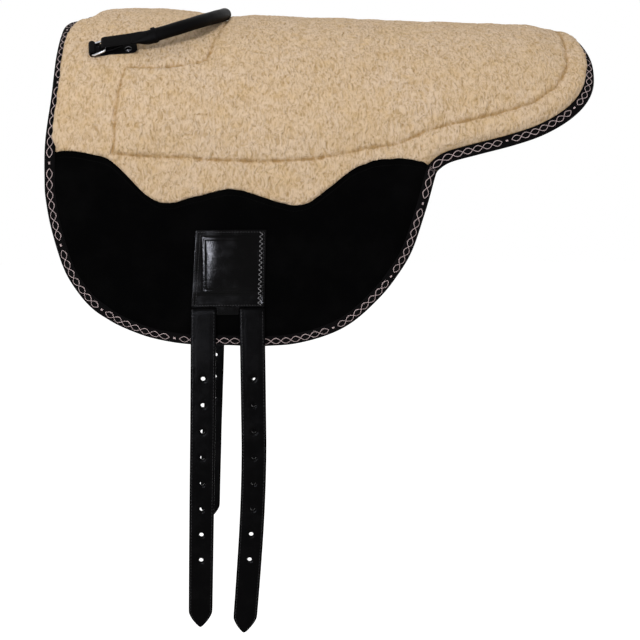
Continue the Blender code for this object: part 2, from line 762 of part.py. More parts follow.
def ring_curve(name):
    """The rectangular wire ring in its own plane, front bar on the origin."""
    curve = bpy.data.curves.new(name, "CURVE")
    curve.dimensions = "3D"
    curve.bevel_depth = RING_WIRE_RADIUS
    curve.bevel_resolution = RING_RESOLUTION
    front = TAB_WIDTH / 2 + RING_SLACK + RING_WIRE_RADIUS
    rear = STRAP_WIDTH / 2 + RING_SLACK + RING_WIRE_RADIUS
    rise = HANDLE_EYE_HEIGHT - TAB_EYE_HEIGHT
    depth = math.hypot(RING_DEPTH, rise)
    corners = rounded([(0.0, -front), (depth, -rear), (depth, rear), (0.0, front)], RING_CORNER)
    spline = curve.splines.new("POLY")
    spline.points.add(len(corners) - 1)
    for point, (x, y) in zip(spline.points, corners):
        point.co = (x, y, 0, 1)
    spline.use_cyclic_u = True
    return curve


def turned(name, profile, steps):
    """A profile of (radius, height) turned about the Z axis."""
    bm = bmesh.new()
    verts = [bm.verts.new((radius, 0, height)) for radius, height in profile]
    edges = [bm.edges.new(pair) for pair in zip(verts, verts[1:])]
    bmesh.ops.spin(
        bm, geom=verts + edges, cent=(0, 0, 0), axis=(0, 0, 1),
        angle=math.radians(360), steps=steps, use_merge=True,
    )
    bmesh.ops.remove_doubles(bm, verts=bm.verts[:], dist=WELD_REACH)
    return mesh_from(bm, name)


def add_pair(name, mesh, frame, parts, finish):
    """Put a fitting on the left tab's frame, and its mirror image on the right side."""
    mesh.transform(frame)
    twin = mesh.copy()
    twin.transform(Matrix.Scale(-1, 4, (0, 1, 0)))
    twin.flip_normals()
    left = add_object(f"{name}_left", mesh, parts, finish)
    right = add_object(f"{name}_right", twin, parts, finish)
    return left, right


def make_fittings(parts, cutters):
    """Tabs, rings, rivets and the flat strap ends of the hand hold."""
    frame = tab_frame()
    tail_low = GAP
    tail_high = GAP + STRAP_THICKNESS
    meet = math.degrees(math.asin((tail_high - TAB_EYE_HEIGHT) / EYE_OUTER))
    outline = [(TAB_LENGTH, tail_low)] + arc(0, TAB_EYE_HEIGHT, EYE_OUTER, 270, meet, EYE_SIDES)
    outline.append((TAB_LENGTH, tail_high))
    bore = circle(0, TAB_EYE_HEIGHT, EYE_BORE, EYE_SIDES)
    mesh = flat_piece("handle_tab", outline, [bore], TAB_WIDTH, side_profile())
    tabs = add_pair("handle_tab", mesh, frame, parts, LEATHER)

    head_low = tail_high + GAP
    profile = [
        (0, tail_low), (RIVET_SHANK_RADIUS, tail_low), (RIVET_SHANK_RADIUS, head_low),
    ]
    profile += [(across * RIVET_RADIUS, head_low + up * RIVET_HEIGHT) for across, up in RIVET_DOME_SHARES]
    rivet_place = frame @ Matrix.Translation((RIVET_RUN, -RIVET_DROP, 0))
    add_pair("tab_rivet", turned("tab_rivet", profile, RIVET_STEPS), rivet_place, parts, CHROME)
    hole_radius = RIVET_SHANK_RADIUS + GAP
    shaft = [(0, -tail_high), (hole_radius, -tail_high), (hole_radius, 2 * tail_high), (0, 2 * tail_high)]
    hole = turned("rivet_hole", shaft, RIVET_STEPS)
    hole.transform(rivet_place)
    other = hole.copy()
    other.transform(Matrix.Scale(-1, 4, (0, 1, 0)))
    other.flip_normals()
    subtract(tabs[0], hole, cutters, "rivet_hole_left")
    subtract(tabs[1], other, cutters, "rivet_hole_right")

    rise = HANDLE_EYE_HEIGHT - TAB_EYE_HEIGHT
    tilt = Matrix.Rotation(-math.atan2(rise, RING_DEPTH), 4, "Y")
    ring_place = Matrix.Translation((0, 0, TAB_EYE_HEIGHT)) @ tilt
    mesh = curve_to_mesh("handle_ring", ring_curve("handle_ring"), ring_place)
    add_pair("handle_ring", mesh, frame, parts, CHROME)

    hinge = NECK_RUN
    top = HANDLE_EYE_HEIGHT + EYE_OUTER
    under = top - STRAP_THICKNESS
    neck_top = NECK_HEIGHT - GRIP_RADIUS - GAP
    neck_low = neck_top - STRAP_THICKNESS
    neck = hinge - NECK_LEVEL_RUN
    drop = neck - NECK_DROP_RUN
    fold_end = RING_DEPTH + FOLD_LENGTH
    outline = [(hinge + NECK_REACH, neck_top), (neck, neck_top), (drop, top)]
    outline += arc(RING_DEPTH, HANDLE_EYE_HEIGHT, EYE_OUTER, 90, 360, EYE_SIDES)
    outline += [(fold_end, HANDLE_EYE_HEIGHT), (fold_end + FOLD_STEP, under)]
    outline += [(drop, under), (neck, neck_low), (hinge + NECK_REACH, neck_low)]
    bore = circle(RING_DEPTH, HANDLE_EYE_HEIGHT, EYE_BORE, EYE_SIDES)
    mesh = flat_piece("handle_end", outline, [bore], STRAP_WIDTH, side_profile())
    narrow_neck(mesh, neck)
    add_pair("handle_end", mesh, frame, parts, LEATHER)


def grip_pivot():
    """Left end of the hinge line about which the grip swings."""
    return tab_frame() @ Vector((NECK_RUN, 0, NECK_HEIGHT))


def grip_apex():
    """Middle of the grip, resting over the ridge."""
    rest = drape(GRIP_APEX_X, 0, FLEECE_TOP)
    return rest + Vector((0, 0, GRIP_RADIUS + GRIP_SEAT_GAP))


def grip_path():
    """Points of the grip's centre line from the left hinge end over the ridge to the right."""
    left = grip_pivot()
    apex = grip_apex()
    depth = Vector((apex.x - left.x, 0, apex.z - left.z))
    centre = Vector((left.x, 0, left.z))
    points = []
    for i in range(GRIP_STEPS + 1):
        angle = math.radians(180) * i / GRIP_STEPS
        points.append(centre + depth * math.sin(angle) + Vector((0, left.y * math.cos(angle), 0)))
    return points


def tube_mesh(name, points, radii, radius):
    """A round tube along points, with its own radius share at each."""
    curve = bpy.data.curves.new(name, "CURVE")
    curve.dimensions = "3D"
    curve.bevel_depth = radius
    curve.bevel_resolution = GRIP_RESOLUTION
    curve.use_fill_caps = True
    spline = curve.splines.new("POLY")
    spline.points.add(len(points) - 1)
    for point, place, share in zip(spline.points, points, radii):
        point.co = (*place, 1)
        point.radius = share
    return curve_to_mesh(name, curve, Matrix.Identity(4))


def make_grip(parts, cutters):
    """The rolled leather grip, the rope in it and the keeper at each end."""
    path = grip_path()
    back = (path[0] - path[1]).normalized()
    ahead = (path[-1] - path[-2]).normalized()
    lead = [path[0] + back * GRIP_RADIUS * run for run, _share in GRIP_END_SHARES]
    trail = [path[-1] + ahead * GRIP_RADIUS * run for run, _share in reversed(GRIP_END_SHARES)]
    shares = [share for _run, share in GRIP_END_SHARES]
    radii = shares + [1.0] * len(path) + shares[::-1]
    mesh = tube_mesh("handle_grip", lead + path + trail, radii, GRIP_RADIUS)
    grip = add_object("handle_grip", mesh, parts, LEATHER)
    reach = GRIP_RADIUS * 2
    bore_path = [path[0] + back * reach] + path + [path[-1] + ahead * reach]
    bore = tube_mesh("grip_bore", bore_path, [1.0] * len(bore_path), GRIP_BORE_RADIUS)
    subtract(grip, bore, cutters, "grip_bore")
    core = tube_mesh("handle_core", path, [1.0] * len(path), CORE_RADIUS)
    add_object("handle_core", core, parts, ROPE)

    inner = GRIP_RADIUS + KEEPER_SLACK
    outer = inner + KEEPER_THICKNESS
    profile = [
        (inner, 0), (outer, 0), (outer, KEEPER_LENGTH), (inner, KEEPER_LENGTH), (inner, 0),
    ]
    mesh = turned("handle_keeper", profile, KEEPER_STEPS)
    aim = (path[1] - path[0]).to_track_quat("Z", "Y").to_matrix().to_4x4()
    place = Matrix.Translation(path[0] - back * KEEPER_START) @ aim
    add_pair("handle_keeper", mesh, place, parts, LEATHER)


def main():
    """Build the pad."""
    clear_scene()
    parts = new_collection("bareback_pad")
    cutters = new_collection("cutters")
    make_soft_layers(parts, cutters)
    make_inlay(parts)
    make_plates(parts)
    make_billets(parts)
    make_fittings(parts, cutters)
    make_grip(parts, cutters)


main()
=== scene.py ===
"""Looks of the bareback pad: curly fleece, black suede, woven edge tape and glossy leather.

Everything is in metres in the part's frame: +X runs to the loin, -Y is the near side, +Z is up.
The soft layers are drawn as a flat pattern and laid over the back. A pattern point has x along
the back, v across it (positive down the near side) and h, its height above the horse.
"""

import logging
import math
from dataclasses import dataclass, field
from enum import Enum
from typing import Any, Callable, Sequence

import bmesh
import bpy
import numpy as np
from mathutils import Matrix, Vector
from mathutils.geometry import delaunay_2d_cdt
from mathutils.kdtree import KDTree


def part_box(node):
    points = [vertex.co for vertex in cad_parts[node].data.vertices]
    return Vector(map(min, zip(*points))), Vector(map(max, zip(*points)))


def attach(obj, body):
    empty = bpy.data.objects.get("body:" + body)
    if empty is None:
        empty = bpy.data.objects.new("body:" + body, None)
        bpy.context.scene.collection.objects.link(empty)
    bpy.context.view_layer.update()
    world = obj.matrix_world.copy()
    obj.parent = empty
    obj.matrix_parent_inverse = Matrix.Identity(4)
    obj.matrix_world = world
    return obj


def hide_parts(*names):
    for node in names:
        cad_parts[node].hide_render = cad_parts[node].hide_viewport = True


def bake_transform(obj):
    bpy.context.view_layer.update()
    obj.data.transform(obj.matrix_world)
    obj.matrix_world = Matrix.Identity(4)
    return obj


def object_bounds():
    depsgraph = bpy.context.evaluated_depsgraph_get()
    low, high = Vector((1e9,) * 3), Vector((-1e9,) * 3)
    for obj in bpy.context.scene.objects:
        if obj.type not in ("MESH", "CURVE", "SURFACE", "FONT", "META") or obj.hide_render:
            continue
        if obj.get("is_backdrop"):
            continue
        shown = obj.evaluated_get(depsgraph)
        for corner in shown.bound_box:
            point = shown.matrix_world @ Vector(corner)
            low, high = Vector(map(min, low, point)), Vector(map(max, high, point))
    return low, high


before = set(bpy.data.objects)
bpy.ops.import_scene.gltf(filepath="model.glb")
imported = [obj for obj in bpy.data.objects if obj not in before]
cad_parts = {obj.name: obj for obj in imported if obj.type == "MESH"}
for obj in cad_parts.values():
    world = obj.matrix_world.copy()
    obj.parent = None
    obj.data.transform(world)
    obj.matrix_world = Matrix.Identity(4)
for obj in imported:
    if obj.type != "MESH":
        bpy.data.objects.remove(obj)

LOG = logging.getLogger("bareback_pad")
MM = 0.001
SEED = 11
# Cells along a side of the repeating random grids
GRID = 256
# How far from an outline its inner side is looked for
PROBE = 0.4 * MM
# How far each girth strap strays fore and aft as it hangs: share of its length, millimetres
FRONT_SWAY = ((0, 0), (0.33, -2.6), (0.66, -6.0), (1, -9.5))
REAR_SWAY = ((0, 0), (0.3, 0.8), (0.45, 0.8), (0.62, -1.75), (0.8, -6.75), (1, -13.5))
FAR_FRONT_SWAY = ((0, 0), (0.1, 3.0), (0.33, 0.4), (0.5, -2.4), (0.66, -6.3), (0.8, -8.7), (1, -11.4))
FAR_REAR_SWAY = ((0, 0), (0.3, 1.5), (0.6, 1.0), (1, -3.0))
# How far a seam holds the cover down while it swells, in how many frames, and as what cloth
SEWN = 4 * MM
SWELL_FRAMES = 20
SWELLING = {
    "quality": 5, "mass": 0.25, "tension_stiffness": 12, "compression_stiffness": 12, "shear_stiffness": 4,
    "bending_stiffness": 0.3, "use_pressure": True, "uniform_pressure_force": 4,
}

Outline = np.ndarray
Colour = tuple[float, float, float]
HeightOf = Callable[[np.ndarray, np.ndarray], np.ndarray]
Keep = Callable[[np.ndarray, np.ndarray], np.ndarray]

# Outlines of the near half on the pattern, x and v in millimetres
FLAP_EDGE = (
    (-183, 0), (-185, 30), (-199, 43), (-205, 57.5), (-207, 86), (-209, 130), (-211, 191), (-217, 250),
    (-218, 293), (-217.5, 315), (-212, 352), (-199, 400), (-184.5, 428), (-165.5, 452.5), (-139.5, 474.3),
    (-111, 488.5), (-83, 495.5), (-48, 498), (-6, 493), (44, 488.5), (81, 484), (121, 471.5), (151.5, 454),
    (182, 425), (202, 399.5), (221.5, 366), (237.5, 317), (247, 283), (251, 269),
)
LOIN_EDGE = (
    (251, 269), (267, 258), (303, 247), (347, 234), (382, 220.5), (413, 202), (436, 180), (449, 155),
    (454, 124), (454, 96), (451, 64), (447.5, 30), (446, 0),
)
SUEDE_WAVE = (
    (-260, 263), (-208, 262), (-191, 261.5), (-170, 265), (-144, 274.5), (-130, 285.5), (-112, 303.5),
    (-96, 318), (-80, 325.2), (-62, 323.5), (-38, 313.5), (-16.5, 305), (2.5, 300), (21.5, 300.5), (42, 305),
    (62, 310), (79, 313), (95, 309.5), (103, 304.5), (125, 288), (147, 271), (164, 263), (178, 258.3),
    (206, 255.5), (227.5, 257.5), (239.5, 261), (275, 285),
)
SEAM_FRONT = (
    (0, 0), (-3, 52), (-11, 88), (-16, 104), (-22.5, 134), (-32, 149.5), (-67, 162), (-96.5, 166),
    (-122, 165),
)
SEAM_DROP = ((-122, 165), (-124, 171), (-129, 197), (-133, 224), (-134, 243.5), (-136.5, 271))
SEAM_REAR = (
    (-136.5, 271), (-112, 274), (-73, 274), (3, 269), (60, 264), (98, 261), (135, 254), (174, 245),
    (206, 239), (246, 221), (304, 205), (361, 187), (385, 172), (402, 158), (416, 134), (421, 113),
    (424, 77), (424, 43), (424, 0),
)
# Back line: x and height in millimetres
BACK_LINE = (
    (-300, 2.5), (-180, 5.4), (-145, 9.6), (-110, 11.2), (-53.5, 7.4), (-30, 3.4), (0, -0.4),
    (33, -4.6), (60, -6.4), (150, -10), (250, -13.5), (360, -17.2), (420, -18.5), (500, -18.5),
)


def catmull(points: Sequence[Sequence[float]], steps: int = 14) -> Outline:
    """Sample an open smooth curve through its points.

    Args:
        points: The curve's own points.
        steps: Samples between two points.

    Returns:
        The samples, first and last point included.
    """
    knots = np.array(points, float)
    knots = np.vstack([2 * knots[0] - knots[1], knots, 2 * knots[-1] - knots[-2]])
    share = np.linspace(0, 1, steps, endpoint=False)[:, None]
    runs = []
    for before, start, end, after in zip(knots, knots[1:], knots[2:], knots[3:]):
        runs.append(
            0.5 * (
                2 * start + (end - before) * share
                + (2 * before - 5 * start + 4 * end - after) * share**2
                + (3 * start - before - 3 * end + after) * share**3
            )
        )
    return np.vstack(runs + [knots[-2][None]])


def resample(points: np.ndarray, spacing: float, closed: bool = False) -> np.ndarray:
    """Space a polyline's points evenly.

    Args:
        points: The polyline.
        spacing: Wanted distance between points.
        closed: Whether the last point joins the first.

    Returns:
        The evenly spaced points, without a repeated last one where the line is closed.
    """
    line = np.vstack([points, points[:1]]) if closed else points
    run = np.concatenate([[0.0], np.cumsum(np.linalg.norm(np.diff(line, axis=0), axis=1))])
    count = max(2, int(round(run[-1] / spacing)))
    places = np.linspace(0, run[-1], count + 1)
    even = np.stack([np.interp(places, run, line[:, k]) for k in range(line.shape[1])], axis=1)
    return even[:-1] if closed else even


def unit(rows: np.ndarray) -> np.ndarray:
    """Rows scaled to length one."""
    return rows / np.linalg.norm(rows, axis=1)[:, None]


def turns(count: int) -> np.ndarray:
    """Angles evenly spaced round a full turn, without a repeated last one."""
    return np.linspace(0, 2 * math.pi, count + 1)[:-1]


def indexed(points: np.ndarray) -> KDTree:
    """A search tree of pattern points."""
    tree = KDTree(len(points))
    for index, (x, v) in enumerate(points):
        tree.insert((x, v, 0), index)
    tree.balance()
    return tree


def level(height: float) -> HeightOf:
    """The same height at every place."""
    return lambda x, v: np.full(len(x), height)


def bell(away: np.ndarray, width: float | np.ndarray, middle: float = 0.0) -> np.ndarray:
    """A bell curve that is 1 at its middle."""
    return np.exp(-(((away - middle) / width) ** 2))


def mirrored(points: Sequence[Sequence[float]]) -> list[tuple[float, float]]:
    """The far side's copy of near-side pattern points, in reverse order."""
    return [(x, -v) for x, v in reversed(points)]


def smoothstep(low: float, high: float, value: np.ndarray) -> np.ndarray:
    """Rise smoothly from 0 at low to 1 at high."""
    share = np.clip((value - low) / (high - low), 0, 1)
    return share * share * (3 - 2 * share)


def inside(loop: Outline, x: np.ndarray, v: np.ndarray) -> np.ndarray:
    """Tell which pattern points lie inside a closed loop."""
    odd = np.zeros(len(x), bool)
    for (ax, av), (bx, bv) in zip(loop, np.roll(loop, -1, axis=0)):
        if av == bv:
            continue
        crosses = (av > v) != (bv > v)
        odd ^= crosses & (x < ax + (bx - ax) * (v - av) / (bv - av))
    return odd


def inward(loop: Outline, span: int) -> np.ndarray:
    """Direction into a closed loop at each of its points.

    Args:
        loop: The evenly spaced outline.
        span: How many points away the neighbours are that give the direction along it.

    Returns:
        One unit row for each point.
    """
    ahead = unit(np.roll(loop, -span, axis=0) - np.roll(loop, span, axis=0))
    normal = np.stack([-ahead[:, 1], ahead[:, 0]], axis=1)
    probe = loop + normal * PROBE
    return normal if inside(loop, probe[:, 0], probe[:, 1]).mean() >= 0.5 else -normal


def within(loop: Outline) -> Keep:
    """Tells which places lie inside a closed outline."""
    return lambda x, v: inside(loop, x, v)


def lumps(x: np.ndarray, v: np.ndarray, size: float, seed: int) -> np.ndarray:
    """Rounded lumps like curls, one to a jittered cell.

    Args:
        x: Pattern places along the back.
        v: Pattern places across it.
        size: Cell size.
        seed: Number that sets the jitter.

    Returns:
        Heights from 0 between lumps to 1 on their tops.
    """
    grid = np.random.default_rng(seed).random((GRID, GRID, 3))
    column = np.floor(x / size).astype(int)
    row = np.floor(v / size).astype(int)
    nearest = np.full(len(x), 9.0)
    tall = np.zeros(len(x))
    for across in (-1, 0, 1):
        for down in (-1, 0, 1):
            cell = grid[(column + across) % GRID, (row + down) % GRID]
            away_x = column + across + cell[:, 0] - x / size
            away_v = row + down + cell[:, 1] - v / size
            away = away_x**2 + away_v**2
            closer = away < nearest
            nearest = np.where(closer, away, nearest)
            tall = np.where(closer, cell[:, 2], tall)
    return np.clip(1 - nearest / 0.8, 0, 1) * (0.55 + 0.45 * tall)


def waves(x: np.ndarray, v: np.ndarray, size: float, seed: int) -> np.ndarray:
    """Soft value noise between -1 and 1 at a given size."""
    grid = np.random.default_rng(seed).random((GRID, GRID)) * 2 - 1
    column = np.floor(x / size).astype(int)
    row = np.floor(v / size).astype(int)
    share_x = smoothstep(0, 1, x / size - column)
    share_v = smoothstep(0, 1, v / size - row)
    near, far = column % GRID, (column + 1) % GRID
    first, second = row % GRID, (row + 1) % GRID
    low = grid[near, first] * (1 - share_x) + grid[far, first] * share_x
    high = grid[near, second] * (1 - share_x) + grid[far, second] * share_x
    return low * (1 - share_v) + high * share_v


class Measure:
    """Distances from a polyline on the pattern."""

    def __init__(self, line: Outline) -> None:
        """Index the polyline's points.

        Args:
            line: Closely spaced points.
        """
        self.tree = indexed(line)

    def away(self, x: np.ndarray, v: np.ndarray) -> np.ndarray:
        """Distance of each pattern point from the line."""
        return np.array([self.tree.find((a, b, 0))[2] for a, b in zip(x, v)])


@dataclass(frozen=True)
class Back:
    """The horse's back that the pattern is laid over."""

    radius: float = 0.198

    def line(self, x: np.ndarray) -> np.ndarray:
        """Height of the ridge at each place along the back."""
        knots = catmull(BACK_LINE) * MM
        return np.interp(x, knots[:, 0], knots[:, 1])

    def drape(self, x: np.ndarray, v: np.ndarray, h: np.ndarray) -> np.ndarray:
        """Lay pattern points over the back.

        Args:
            x: Places along the back.
            v: Places across it.
            h: Heights above the horse.

        Returns:
            One row of coordinates for each point.
        """
        reach = np.minimum(np.abs(v), self.radius * math.pi / 2)
        turn = reach / self.radius
        away = self.radius + h
        y = -np.sign(v) * away * np.sin(turn)
        z = away * np.cos(turn) - self.radius - (np.abs(v) - reach) + self.line(x)
        return np.stack([x, y, z], axis=1)

    def outward(self, v: np.ndarray) -> np.ndarray:
        """Direction away from the horse at each pattern place."""
        turn = np.minimum(np.abs(v) / self.radius, math.pi / 2)
        return np.stack([np.zeros(len(v)), -np.sign(v) * np.sin(turn), np.cos(turn)], axis=1)


@dataclass
class Pattern:
    """Outlines of the pad's layers, evenly spaced, with distances from them."""

    back: Back = field(default_factory=Back)
    step: float = 2.5 * MM
    tape_wall: float = 1.5 * MM
    edge: Outline = field(init=False)
    body: Outline = field(init=False)
    seam: Outline = field(init=False)
    wave: Outline = field(init=False)

    def __post_init__(self) -> None:
        """Work out the loops and their distance trees."""
        loin = catmull(list(LOIN_EDGE) + mirrored(LOIN_EDGE)[1:])
        flap = catmull(mirrored(FLAP_EDGE) + list(FLAP_EDGE)[1:])
        self.edge = self.eased(resample(np.vstack([loin[:-1], flap[:-1]]) * MM, self.step, True))
        front = catmull(mirrored(SEAM_FRONT) + list(SEAM_FRONT)[1:])
        drop = catmull(SEAM_DROP)
        rear = catmull(list(SEAM_REAR) + mirrored(SEAM_REAR)[1:])
        far_drop = catmull(mirrored(SEAM_DROP))
        seam = np.vstack([front[:-1], drop[:-1], rear[:-1], far_drop[:-1]]) * MM
        self.seam = resample(seam, self.step, True)
        self.wave = resample(catmull(SUEDE_WAVE) * MM, self.step)
        self.body = self.inset(self.tape_wall)
        fine = 1.2 * MM
        self.from_edge = Measure(resample(self.edge, fine, True))
        self.from_seam = Measure(resample(self.seam, fine, True))
        near = resample(self.wave, fine)
        self.from_wave = Measure(np.vstack([near, near * (1, -1)]))

    def eased(self, loop: Outline) -> Outline:
        """Round a loop's corners a little."""
        for _pass in range(2):
            loop = (np.roll(loop, 1, axis=0) + 2 * loop + np.roll(loop, -1, axis=0)) / 4
        return loop

    def inset(self, depth: float) -> Outline:
        """The edge moved into the pad by a depth."""
        return self.edge + inward(self.edge, 2) * depth

    def depth(self, x: np.ndarray, v: np.ndarray) -> np.ndarray:
        """Distance in from the pad's edge."""
        return self.from_edge.away(x, v)

    def to_edge(self, x: np.ndarray, v: np.ndarray) -> np.ndarray:
        """Direction from each pattern point to the pad's edge."""
        spots = np.array([self.from_edge.tree.find((a, b, 0))[0][:2] for a, b in zip(x, v)])
        way = spots - np.stack([x, v], axis=1)
        return way / np.maximum(np.linalg.norm(way, axis=1), self.tape_wall / 2)[:, None]

    def past_seam(self, x: np.ndarray, v: np.ndarray) -> np.ndarray:
        """Distance from the seat seam, positive inside the seat."""
        away = self.from_seam.away(x, v)
        return np.where(inside(self.seam, x, v), away, -away)

    def under_wave(self, x: np.ndarray, v: np.ndarray) -> np.ndarray:
        """Whether pattern points lie below the suede's top edge."""
        return np.abs(v) > np.interp(x, self.wave[:, 0], self.wave[:, 1])


@dataclass(frozen=True)
class Heights:
    """How the pad's layers lie over each other, above the horse."""

    gap: float = 0.3 * MM
    lining: float = 1.5 * MM
    foam: float = 6.2 * MM
    foam_edge: float = 2.2 * MM
    suede: float = 1.5 * MM
    pile: float = 5.0 * MM
    seat_pile: float = 6.2 * MM
    pressed_pile: float = 1.2 * MM
    seat_foam: float = 6.0 * MM
    seat_rim: float = 0.5 * MM
    seat_inset: float = 8.0 * MM
    crown_inset: float = 38.0 * MM
    lip: float = 13.0 * MM
    shoulder: float = 24.0 * MM
    web_drop: float = 2.1 * MM

    def foam_low(self) -> float:
        """Underside of the foam."""
        return self.lining + self.gap

    def foam_top(self, depth: np.ndarray) -> np.ndarray:
        """Top of the foam at a depth from the edge."""
        rise = smoothstep(self.lip, self.shoulder, depth)
        return self.foam_low() + self.foam_edge + (self.foam - self.foam_edge) * rise

    def flat_top(self) -> float:
        """Top of the foam away from the edge."""
        return self.foam_low() + self.foam

    def crown(self, seam: np.ndarray) -> np.ndarray:
        """Thickness of the seat's extra foam at a distance inside the seam."""
        rise = smoothstep(self.seat_inset / 2, self.crown_inset, seam)
        return self.seat_rim * (seam > 0) + (self.seat_foam - self.seat_rim) * rise


def maths_node(operation: str, swap: bool = False) -> Callable[..., "Value"]:
    """An operator of Value that adds a Math node, where swap puts the other value first."""

    def add(value: "Value", *others: Any) -> "Value":
        return value.maths(operation, *others, swap=swap)

    return add


class Value:
    """A shader number whose operators add Math nodes."""

    def __init__(self, bench: "Bench", socket: bpy.types.NodeSocket) -> None:
        """Wrap an output socket.

        Args:
            bench: The material being made.
            socket: The output that gives the number.
        """
        self.bench = bench
        self.socket = socket

    def maths(self, operation: str, *others: Any, swap: bool = False) -> "Value":
        """Add a Math node for an operation with other values."""
        values = list(reversed([self, *others])) if swap else [self, *others]
        inputs = dict(enumerate(values))
        return self.bench.node("ShaderNodeMath", {"operation": operation}, inputs, 0)

    __add__ = __radd__ = maths_node("ADD")
    __sub__ = maths_node("SUBTRACT")
    __rsub__ = maths_node("SUBTRACT", swap=True)
    __mul__ = maths_node("MULTIPLY")
    __gt__ = maths_node("GREATER_THAN")
    __lt__ = maths_node("LESS_THAN")
    __abs__ = maths_node("ABSOLUTE")
    # Of an angle in radians
    sine = maths_node("SINE")
    # The greater and the smaller of two values
    either = maths_node("MAXIMUM")
    both = maths_node("MINIMUM")

    def ramp(self, low: float, high: float, start: float = 0.0, end: float = 1.0) -> "Value":
        """Map a range to another, smoothly and clamped."""
        inputs = {0: self, 1: low, 2: high, 3: start, 4: end}
        return self.bench.node("ShaderNodeMapRange", {"interpolation_type": "SMOOTHSTEP"}, inputs, 0)


class Bench:
    """Makes one material's nodes."""

    def __init__(self, name: str) -> None:
        """Start a material.

        Args:
            name: The material's name.
        """
        self.material = bpy.data.materials.new(name)
        self.material.use_nodes = True
        self.tree = self.material.node_tree
        self.shader = self.tree.nodes["Principled BSDF"]

    def seen(self) -> Value:
        """One for rays that show the surface to the camera, straight, mirrored or through."""
        paths = self.node("ShaderNodeLightPath", {}, {})
        camera, glossy, through = (
            Value(self, paths.outputs[f"Is {name} Ray"]) for name in ("Camera", "Glossy", "Transmission")
        )
        return camera.either(glossy).either(through)

    def node(self, kind: str, settings: dict[str, Any], inputs: dict[Any, Any], output: Any = None) -> Any:
        """Add a node.

        Args:
            kind: The node's type.
            settings: Its properties, set first.
            inputs: Values or links of its sockets, by name or number.
            output: Which output to return as a Value.

        Returns:
            A Value of the output, or the node where no output is named.
        """
        node = self.tree.nodes.new(kind)
        for key, value in settings.items():
            setattr(node, key, value)
        for key, value in inputs.items():
            self.feed(node.inputs[key], value)
        return node if output is None else Value(self, node.outputs[output])

    def feed(self, socket: bpy.types.NodeSocket, value: Any) -> None:
        """Link or set one input socket."""
        if isinstance(value, Value):
            self.tree.links.new(value.socket, socket)
        elif isinstance(value, tuple) and len(value) == 3 and socket.type == "RGBA":
            socket.default_value = (*value, 1.0)
        else:
            socket.default_value = value

    def place(self) -> Value:
        """Places on the object, in metres."""
        return self.node("ShaderNodeTexCoord", {}, {}, "Object")

    def lay(self, axis: int) -> Value:
        """One coordinate of the piece's own lay: along, across or a mask of painted shade."""
        lay = self.node("ShaderNodeAttribute", {"attribute_name": "lay"}, {}, "Vector")
        return self.node("ShaderNodeSeparateXYZ", {}, {0: lay}, axis)

    def noise(
        self, scale: float, detail: float = 2.0, rough: float = 0.55, where: Value | None = None,
    ) -> Value:
        """Noise of a given scale per metre."""
        inputs = {"Vector": where or self.place(), "Scale": scale, "Detail": detail, "Roughness": rough}
        return self.node("ShaderNodeTexNoise", {}, inputs, 0)

    def cells(self, scale: float, where: Value | None = None) -> Value:
        """Distance in a smooth cell pattern of a given scale per metre."""
        inputs = {"Vector": where or self.place(), "Scale": scale}
        return self.node("ShaderNodeTexVoronoi", {"feature": "SMOOTH_F1"}, inputs, "Distance")

    def stretched(self, scale: tuple[float, float, float]) -> Value:
        """Object places stretched along the axes."""
        return self.node("ShaderNodeMapping", {}, {"Vector": self.place(), "Scale": scale}, 0)

    def curled(self, where: Value, scale: float, reach: float) -> Value:
        """Places pushed about by noise of a given scale, as far as reach."""
        push = self.node("ShaderNodeTexNoise", {}, {"Vector": self.place(), "Scale": scale}, 1)
        inputs = {0: push, 1: (reach, reach, reach), 2: where}
        return self.node("ShaderNodeVectorMath", {"operation": "MULTIPLY_ADD"}, inputs, 0)

    def mix(self, share: Value, low: Any, high: Any) -> Value:
        """Mix two colours."""
        settings = {"data_type": "RGBA", "clamp_factor": True}
        return self.node("ShaderNodeMix", settings, {0: share, 6: low, 7: high}, 2)

    def bump(self, height: Value, strength: float, distance: float, under: Value | None = None) -> Value:
        """A Bump node's normal, over another one where given."""
        inputs: dict[Any, Any] = {"Height": height, "Strength": strength, "Distance": distance}
        if under is not None:
            inputs["Normal"] = under
        return self.node("ShaderNodeBump", {}, inputs, 0)

    def finish(self, **inputs: Any) -> bpy.types.Material:
        """Feed the shader's sockets, named with underscores, and return the material."""
        for key, value in inputs.items():
            self.feed(self.shader.inputs[key.replace("_", " ")], value)
        return self.material


